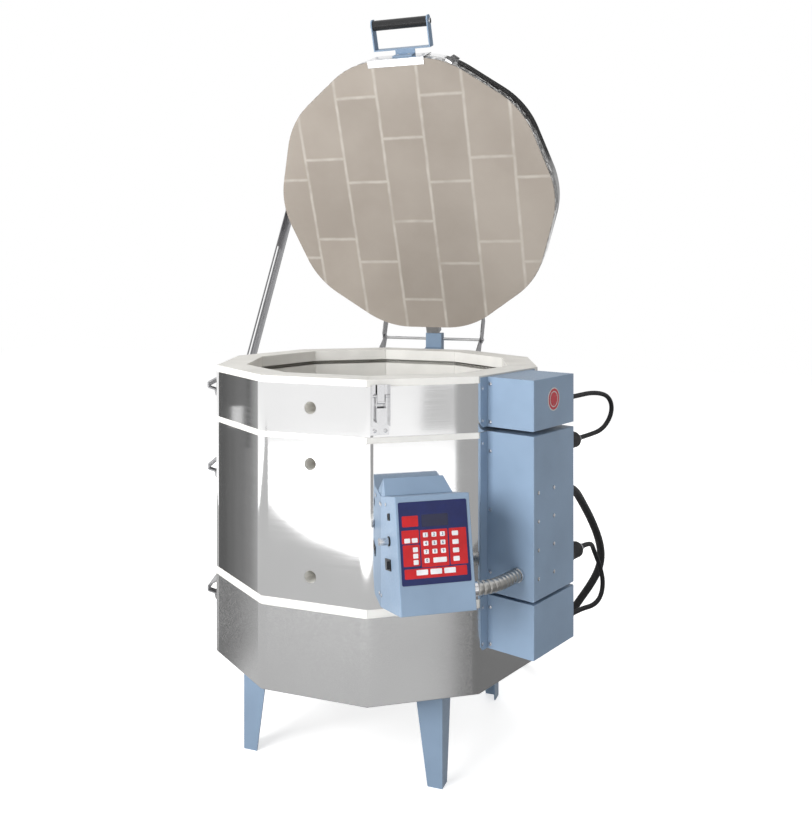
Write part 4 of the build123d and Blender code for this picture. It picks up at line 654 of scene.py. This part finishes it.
# a tube of four sides about a helix: centre line + coil radius * (cos turn * side + sin turn * over), turn being
# 2 pi * length / pitch, with the wire's radius round that
def wound(line):
    s = windings
    steps = np.linalg.norm(np.diff(line, axis=0), axis=1)
    reach = np.concatenate([[0], np.cumsum(steps)])
    count = int(reach[-1] / (s["pitch"] * mm) * s["perTurn"])
    run = np.linspace(0, reach[-1], count)
    centre = np.stack([np.interp(run, reach, line[:, k]) for k in range(3)], 1)
    even = np.ones(13) / 13
    softer = np.stack([np.convolve(np.pad(centre[:, k], 6, mode="edge"), even, "valid") for k in range(3)], 1)
    ahead = np.gradient(softer, axis=0)
    ahead /= np.linalg.norm(ahead, axis=1)[:, None]
    side = np.cross(ahead, up)
    flatRun = np.linalg.norm(side, axis=1) < 0.5
    side[flatRun] = out(s["firstFlat"])
    side /= np.linalg.norm(side, axis=1)[:, None]
    over = np.cross(side, ahead)
    turn = 2 * math.pi * run / (s["pitch"] * mm)
    spoke = side * np.cos(turn)[:, None] + over * np.sin(turn)[:, None]
    round4 = np.linspace(0, 2 * math.pi, 4, endpoint=False) + math.pi / 4
    grid = (softer + spoke * s["coil"] * mm)[:, None, :]
    grid = grid + (spoke[:, None, :] * np.cos(round4)[None, :, None]
                   + ahead[:, None, :] * np.sin(round4)[None, :, None]) * s["wire"] * mm
    faces = gridFaces(count, 4, wrapColumns=True).tolist()
    faces += [[0, 1, 2, 3], [4 * count - 1, 4 * count - 2, 4 * count - 3, 4 * count - 4]]
    return grid.reshape(-1, 3), faces


for course in range(windings["courses"]):
    foot = windings["foot"] + windings["course"] * course
    low, high = (foot + rise for rise in windings["heights"])
    shells = [wound(elementLine(low, high))]
    for z in (low, high):
        axes = framed(place(windings["firstFlat"], windings["tailT"], 0, z), out(windings["firstFlat"]))
        tail = [(windings["tail"], 297.5), (windings["tail"], windings["tailEnd"])]
        shells.append(lathe(tail, axes, 12))
    element = gathered(f"element{course + 1}", shells)
    finish(element, look["wire"], "body", "heating_wire", *(["elements"] if course == 0 else []))
print("elements wound")

# screws: pan heads with a cross recess on each of the solids' screws
screwHead = {"radius": 3.75, "height": 1.8, "crossWidth": 0.55, "crossReach": 2.0, "crossDepth": 0.9,
             "domeDrop": 0.55, "shank": 2.0, "headFrom": 3.2, "around": 32,
             "rings": (0.12, 0.5, 1.0, 1.5, 2.0, 2.5, 3.1, 3.6, 3.75)}


# head height - drop * (r / radius)^4, lowered inside the cross; the skirt and shank close it
def screwShell(axes, length):
    s = screwHead
    origin, xWay, yWay, zWay = axes
    r = np.array(s["rings"])
    turn = np.linspace(0, 2 * math.pi, s["around"], endpoint=False)
    radius, angle = np.meshgrid(r, turn, indexing="ij")
    dome = s["height"] - s["domeDrop"] * (radius / s["radius"]) ** 4
    x, y = radius * np.cos(angle), radius * np.sin(angle)
    cross = (np.minimum(np.abs(x), np.abs(y)) < s["crossWidth"]) & (radius < s["crossReach"])
    dome = dome - np.where(cross, s["crossDepth"], 0.0)
    rows = [np.stack([x, y, dome], -1)]
    for ringRadius, z in ((s["radius"], 0.0), (s["shank"], 0.0), (s["shank"], -length)):
        rows.append(np.stack([ringRadius * np.cos(turn), ringRadius * np.sin(turn), np.full(len(turn), z)], -1)[None])
    grid = np.concatenate(rows) * mm
    points = origin + grid[..., 0:1] * xWay + grid[..., 1:2] * yWay + grid[..., 2:3] * zWay
    count = grid.shape[0]
    faces = gridFaces(count, s["around"], wrapColumns=True).tolist()
    faces.append(list(range(s["around"])))
    faces.append([(count - 1) * s["around"] + k for k in range(s["around"])][::-1])
    return points.reshape(-1, 3), faces


# the solids of a node, each as an array of its points: a point takes the lowest label among those it has an edge to,
# label = min(label, neighbour's label), again and again until nothing changes
def islands(node):
    mesh = nodes[node].data
    points, same = np.unique(np.round(pointsOf(mesh), 6), axis=0, return_inverse=True)
    ends = np.empty(len(mesh.edges) * 2, int)
    mesh.edges.foreach_get("vertices", ends)
    a, b = same.ravel()[ends].reshape(-1, 2).T
    label, lower = None, np.arange(len(points))
    while not np.array_equal(label, lower):
        label = lower
        lower = label.copy()
        np.minimum.at(lower, a, label[b])
        np.minimum.at(lower, b, label[a])
        lower = lower[lower]
    return [points[label == k] for k in np.unique(label)]


# each solid's axis is the way about which it is thinnest, and its head is where it is widest
def screwsOf(node, ways):
    shells = []
    for k, points in enumerate(sorted(islands(node), key=lambda p: tuple(np.round(p.mean(0), 4)))):
        middle = (points.min(0) + points.max(0)) / 2
        best = None
        for way in ways:
            shadow = (points - points.mean(0)) - np.outer((points - points.mean(0)) @ way, way)
            size = np.linalg.norm(shadow - (shadow.max(0) + shadow.min(0)) / 2, axis=1).max()
            if best is None or size < best[0] - 1e-6:
                best = (size, way, shadow)
        size, way, shadow = best
        centreLine = points.mean(0) + (shadow.max(0) + shadow.min(0)) / 2
        height = (points - centreLine) @ way
        wide = np.linalg.norm((points - centreLine) - np.outer(height, way), axis=1) > screwHead["headFrom"] * mm
        if height[wide].mean() < height[~wide].mean():
            way, height = -way, -height
        seat = height[wide].min()
        length = (seat - height.min()) / mm
        spin = np.array((math.cos(k * 2.4), math.sin(k * 2.4), math.sin(k * 1.7) + 0.2))
        shells.append(screwShell(framed(centreLine + way * seat, way, spin), length))
    return shells


lidTurn = math.radians(lidLayout["open"])
lidOut = np.array((0.0, math.sin(lidTurn), math.cos(lidTurn)))
lidFront = np.array((0.0, -math.cos(lidTurn), math.sin(lidTurn)))
ways = {
    "jacket_screws": [out(36 * k) for k in range(5)],
    "cabinet_screws": [out(72), along(72), along(36)],
    "lid_screws": [lidOut, lidFront],
}
for node, choices in ways.items():
    piece = gathered(node.replace("_s", "S"), screwsOf(node, choices), smooth=False)
    finish(piece, look["plated"], bodyOf[node], "bright_fixing", node)
print("screws set")

# keypad: printed sheet with red fields, raised keys and plain numbers
keypad = {
    "flat": 36, "topR": 457.2, "topZ": 632.4, "lean": 12.1, "sheet": (-82.9, 50.3, -158.5, -10.6), "corner": 3.0,
    "base": 0.8, "field": 0.95, "key": 1.3, "digit": 1.34,
    "fields": ((-43.5, 9.5, -128.0, -62.0), (12.0, 46.0, -127.0, -62.0), (-79.0, -46.0, -85.0, -61.0),
               (-78.0, -46.0, -125.0, -87.0), (-77.0, 43.0, -147.0, -129.6)),
    "start": (-77.0, -46.0, -55.0, -35.5), "window": (-39.5, 12.0, -56.5, -34.5),
    "small": (9.4, 8.4), "numbers": "147258369", "numberSize": 7.4, "numberBold": 0.10,
}
lean = math.radians(keypad["lean"])
faceOut = out(keypad["flat"]) * math.cos(lean) + up * math.sin(lean)
faceUp = up * math.cos(lean) - out(keypad["flat"]) * math.sin(lean)
faceAcross = along(keypad["flat"])
faceOrigin = place(keypad["flat"], 0, keypad["topR"], keypad["topZ"])


def onFace(x, y, z):
    x, y, z = (np.asarray(v, float)[..., None] * mm for v in (x, y, z))
    return faceOrigin + x * faceAcross + y * faceUp + z * faceOut


# a plate with round corners and an edge that turns over: centre + radius * (cos turn, sin turn) at four heights
def tile(box, low, high, corner=1.2, edge=0.25):
    x0, x1, y0, y1 = box
    quarter = np.linspace(0, math.pi / 2, 6)
    cx, cy, turns = [], [], []
    for k, (x, y) in enumerate(((x1, y1), (x0, y1), (x0, y0), (x1, y0))):
        cx += [x - math.copysign(corner, x - (x0 + x1) / 2)] * 6
        cy += [y - math.copysign(corner, y - (y0 + y1) / 2)] * 6
        turns += list(quarter + k * math.pi / 2)
    cx, cy, turns = np.array(cx), np.array(cy), np.array(turns)
    rows = []
    for radius, z in ((corner, low), (corner, high - edge), (corner - edge * 0.3, high - edge * 0.3),
                      (corner - edge, high)):
        rows.append(onFace(cx + radius * np.cos(turns), cy + radius * np.sin(turns), np.full(24, z)))
    grid = np.stack(rows)
    faces = gridFaces(4, 24, wrapColumns=True)[:, ::-1].tolist()
    faces += [list(range(24))[::-1], [72 + k for k in range(24)]]
    return grid.reshape(-1, 3), faces


def keyBoxes():
    w, h = keypad["small"]
    keys = [(x, y, w, h) for x in (-33.5, -17.0, -0.5) for y in (-71.0, -86.0, -101.0)]
    keys += [(-33.0, -116.5, w, h), (-8.0, -116.7, 26.0, 9.0)]
    keys += [(24.0, y, 12.0, 8.4) for y in (-71.4, -86.8, -101.8, -116.8)]
    keys += [(x, -79.4, 11.0, 8.0) for x in (-68.8, -54.5)]
    keys += [(-54.2, y, w, h) for y in (-96.0, -107.2, -118.4)]
    keys += [(x, -136.6, 22.0, 9.5) for x in (-43.5, -16.8, 9.9)]
    return [(x - w / 2, x + w / 2, y - h / 2, y + h / 2) for x, y, w, h in keys]


def numberMesh(text, x, y, size, z):
    letters = bpy.data.curves.new("number", "FONT")
    letters.body = text
    letters.size = size * mm
    letters.align_x, letters.align_y = "CENTER", "CENTER"
    letters.extrude = 0.02 * mm
    letters.offset = keypad["numberBold"] * mm
    probe = bpy.data.objects.new("number", letters)
    mesh = bpy.data.meshes.new_from_object(probe)
    points = pointsOf(mesh) / mm
    faces = [list(p.vertices) for p in mesh.polygons]
    bpy.data.objects.remove(probe)
    return onFace(points[:, 0] + x, points[:, 1] + y, points[:, 2] + z), faces


pad = gathered("keypadSheet", [tile(keypad["sheet"], 0.0, keypad["base"], keypad["corner"], 0.2)], smooth=False)
finish(pad, look["navy"], "body", "keypad_face", "keypad")
fields = [tile(box, keypad["base"] - 0.1, keypad["field"], 2.0, 0.06) for box in (*keypad["fields"], keypad["start"])]
finish(gathered("keypadFields", fields, smooth=False), look["keyRed"], "body", "keypad_face")
keys = [tile(box, keypad["base"], keypad["key"], 1.4) for box in keyBoxes()]
finish(gathered("keypadKeys", keys, smooth=False), look["keyWhite"], "body", "keypad_face")
window = [tile(keypad["window"], keypad["base"] - 0.1, keypad["field"], 1.5, 0.06)]
finish(gathered("displayWindow", window, smooth=False), look["glassy"], "body", "keypad_face")
digits = [numberMesh(text, (x0 + x1) / 2, (y0 + y1) / 2, keypad["numberSize"], keypad["digit"] - 0.03)
          for text, (x0, x1, y0, y1) in zip(keypad["numbers"] + "0", keyBoxes())]
finish(gathered("keypadNumbers", digits, smooth=False), look["navy"], "body", "keypad_face")
print("keypad printed")

# the length of each free cord, once every piece on it is there
supplyLength = round(lineLength(cordPieces["supplyCord"]), 3)
upperLength = round(lineLength(cordPieces["upperJumper"]), 3)
lowerLength = round(lineLength(cordPieces["lowerJumper"]), 3)

# stage: pale floor, white surround, and what the polished steel reflects
stageLook = {"floorSize": 16.0, "white": 1.0, "surround": 0.42, "floorGlow": 0.62}


def dull(name, colour):  # matt and without gloss
    material, tree, shader = blank(name)
    shader.inputs["Base Color"].default_value = (*colour, 1)
    shader.inputs["Roughness"].default_value = 1.0
    shader.inputs["Specular IOR Level"].default_value = 0.0
    return material, tree, shader


def glow(name, level):
    material, tree, shader = dull(name, (0, 0, 0))
    shader.inputs["Emission Color"].default_value = (level, level, level, 1)
    shader.inputs["Emission Strength"].default_value = 1.0
    return material


def reflectedOnly(piece):
    piece.visible_camera = False
    piece.visible_diffuse = False
    piece.visible_shadow = False
    piece.visible_transmission = False


def stageFloor():
    half = stageLook["floorSize"] / 2
    floor = meshPiece("floor", [(-half, -half, 0), (half, -half, 0), (half, half, 0), (-half, half, 0)],
                      [(0, 1, 2, 3)], smooth=False)
    material, tree, shader = dull("paleFloor", (0.9, 0.9, 0.9))
    rays = add(tree, "ShaderNodeLightPath").outputs
    seen = add(tree, "ShaderNodeMath", [(0, rays["Is Camera Ray"]), (1, rays["Is Glossy Ray"])], operation="MAXIMUM")
    level = add(tree, "ShaderNodeMath", [(0, seen.outputs[0])], operation="MULTIPLY")
    level.inputs[1].default_value = stageLook["floorGlow"]
    shader.inputs["Emission Color"].default_value = (1, 1, 1, 1)
    tree.links.new(level.outputs[0], shader.inputs["Emission Strength"])
    floor.data.materials.append(material)


def stageWorld():
    world = bpy.data.worlds.new("surround")
    bpy.context.scene.world = world
    world.use_nodes = True
    tree = world.node_tree
    tree.nodes.clear()
    rays = add(tree, "ShaderNodeLightPath").outputs
    seen = add(tree, "ShaderNodeMath", [(0, rays["Is Camera Ray"]), (1, rays["Is Glossy Ray"])], operation="MAXIMUM")
    seen = add(tree, "ShaderNodeMath", [(0, seen.outputs[0]), (1, rays["Is Transmission Ray"])], operation="MAXIMUM")
    level = add(tree, "ShaderNodeMapRange", [("Value", seen.outputs[0])], **{
        "To Min": stageLook["surround"], "To Max": stageLook["white"]})
    back = add(tree, "ShaderNodeBackground", [("Strength", level.outputs[0])], Color=(1, 1, 1, 1))
    add(tree, "ShaderNodeOutputWorld", [("Surface", back.outputs[0])])


def sheetCard(name, corners, level):
    card = meshPiece(name, corners, [tuple(range(len(corners)))], smooth=False)
    card.data.materials.append(glow(name, level))
    reflectedOnly(card)


def lamp(name, where, aim, size, energy):
    light = bpy.data.lights.new(name, "AREA")
    light.shape = "RECTANGLE"
    light.size, light.size_y = size
    light.energy = energy
    piece = bpy.data.objects.new(name, light)
    way = Vector(aim) - Vector(where)
    piece.rotation_euler = way.to_track_quat("-Z", "Y").to_euler()
    piece.location = where
    piece.visible_glossy = False
    bpy.context.scene.collection.objects.link(piece)


steelSees = {  # cards that show in reflections alone: levels, and corners in metres
    "floorLevel": 0.585, "floorHeight": 0.003,
    "floor": ((-3.0, -3.79), (-2.02, -3.79), (-1.69, -3.27), (-1.45, -2.83), (-1.28, -2.55), (-1.10, -2.31),
              (-0.90, -2.09), (-0.76, -1.97), (-0.65, -1.91), (-0.55, -1.85), (0.2, -1.75), (0.9, -1.6),
              (1.43, -1.45), (2.2, -1.0), (2.6, 0.6), (1.8, 2.4), (-0.6, 2.8), (-2.2, 1.6), (-2.4, -0.8)),
    "patchLevel": 0.60, "patch": ((2.595, -2.072, 0.471), (2.718, -1.941, 0.470), (2.693, -1.936, 0.228),
                                  (2.567, -2.071, 0.230)),
    "leftX": -0.9, "leftFoot": -0.4, "leftLow": 0.004, "leftTop": 0.95,
    "leftBands": ((-0.050, 0.15), (-0.085, 0.14), (-0.097, 0.09), (-0.112, 0.14), (-0.135, 0.17), (-0.165, 0.22),
                  (-0.185, 0.27), (-0.197, 0.37), (-0.213, 0.55), (-0.240, 0.95)),
    "right": ((0.686, -0.544), (0.82, -0.42), (0.97, -0.1), (0.97, 0.4)),
    "rightParts": (("Low", 0.0, 0.34, 0.20), ("High", 0.34, 0.95, 0.42)),
    "rightFoot": ((0.45, 0.40), (0.42, -0.1), (0.40, -0.36)), "rightFootLevel": 0.20,
    "corner": ((1.17, -2.20), (1.60, -1.92)), "cornerTop": 2.2, "cornerLevel": 0.40,
    "glint": ((-0.128, 0.60), (-0.160, 0.60), (-0.160, 0.66), (-0.128, 0.66)), "glintLevel": 0.75,
    "line": ((-0.170, 0.54), (-0.180, 0.54), (-0.186, 0.95), (-0.170, 0.95)), "lineLevel": 0.12, "lineX": -0.89,
    "backY": 3.0, "backBands": ((-2.60, -1.70, 0.30), (-1.20, -0.95, 0.14), (-0.95, -0.40, 0.50),
                                (0.25, 0.42, 0.16), (0.42, 1.30, 0.36), (1.90, 2.30, 0.20)),
    "highY": 3.4, "high": (-0.5, 2.0, 1.9, 4.6), "highLevel": 0.04,
}
lamps = {"key": ((-1.6, -3.4, 1.7), (0.1, 0, 0.8), (2.4, 2.0), 150.0),
         "fill": ((3.2, -2.0, 1.2), (0.2, 0, 0.7), (2.0, 2.4), 8.0),
         "overhead": ((0.0, -0.6, 3.8), (0.0, 0.0, 0.8), (2.6, 2.6), 22.0),
         "behind": ((-1.2, 3.6, 2.0), (0.0, 0.0, 0.9), (2.4, 2.4), 45.0)}


def standing(x0, y0, x1, y1, low, high):  # corners of an upright card between two places on the floor
    return [(x0, y0, low), (x1, y1, low), (x1, y1, high), (x0, y0, high)]


def reflections(s):
    sheetCard("nearFloor", [(x, y, s["floorHeight"]) for x, y in s["floor"]], s["floorLevel"])
    sheetCard("greyPatch", s["patch"], s["patchLevel"])
    x, low = s["leftX"], s["leftLow"]
    for k, ((y0, first), (y1, second)) in enumerate(zip(s["leftBands"][:-1], s["leftBands"][1:])):
        level = (first + second) / 2
        sheetCard(f"leftBand{k + 1}", standing(x, y0, x, y1, low, s["leftTop"]), level)
        foot = [(x, y0, low), (x, y1, low), (s["leftFoot"], y1, low), (s["leftFoot"], y0, low)]
        sheetCard(f"leftFoot{k + 1}", foot, level)
    for k, (a, b) in enumerate(zip(s["right"][:-1], s["right"][1:])):
        for part, z0, z1, level in s["rightParts"]:
            sheetCard(f"right{part}{k + 1}", standing(*a, *b, z0, z1), level)
    sheetCard("rightFoot", [(x, y, 0.006) for x, y in (*s["right"], *s["rightFoot"])], s["rightFootLevel"])
    sheetCard("cornerLine", standing(*s["corner"][0], *s["corner"][1], 0.0, s["cornerTop"]), s["cornerLevel"])
    sheetCard("leftGlint", [(s["lineX"], y, z) for y, z in s["glint"]], s["glintLevel"])
    sheetCard("leftLine", [(s["lineX"], y, z) for y, z in s["line"]], s["lineLevel"])
    for k, (x0, x1, level) in enumerate(s["backBands"]):
        sheetCard(f"backBand{k + 1}", standing(x1, s["backY"], x0, s["backY"], 0.01, 2.1), level)
    x0, x1, z0, z1 = s["high"]
    sheetCard("behindHigh", standing(x1, s["highY"], x0, s["highY"], z0, z1), s["highLevel"])


stageFloor()
stageWorld()
reflections(steelSees)
for name, (where, aim, size, energy) in lamps.items():
    lamp(name, where, aim, size, energy)

view = {"place": (0.8129, -2.06205, 1.0563), "turn": 21.2028, "lens": 42.06, "sensor": 36.0,
        "shift": (0.0271, -0.1712)}
lens = bpy.data.cameras.new("photographCamera")
lens.sensor_width = view["sensor"]
lens.lens = view["lens"]
lens.shift_x, lens.shift_y = view["shift"]
camera = bpy.data.objects.new("photographCamera", lens)
camera.location = view["place"]
camera.rotation_euler = (math.radians(90), 0.0, math.radians(view["turn"]))
bpy.context.scene.collection.objects.link(camera)
bpy.context.scene.camera = camera
bpy.context.scene.view_settings.view_transform = "Standard"
print("stage set")
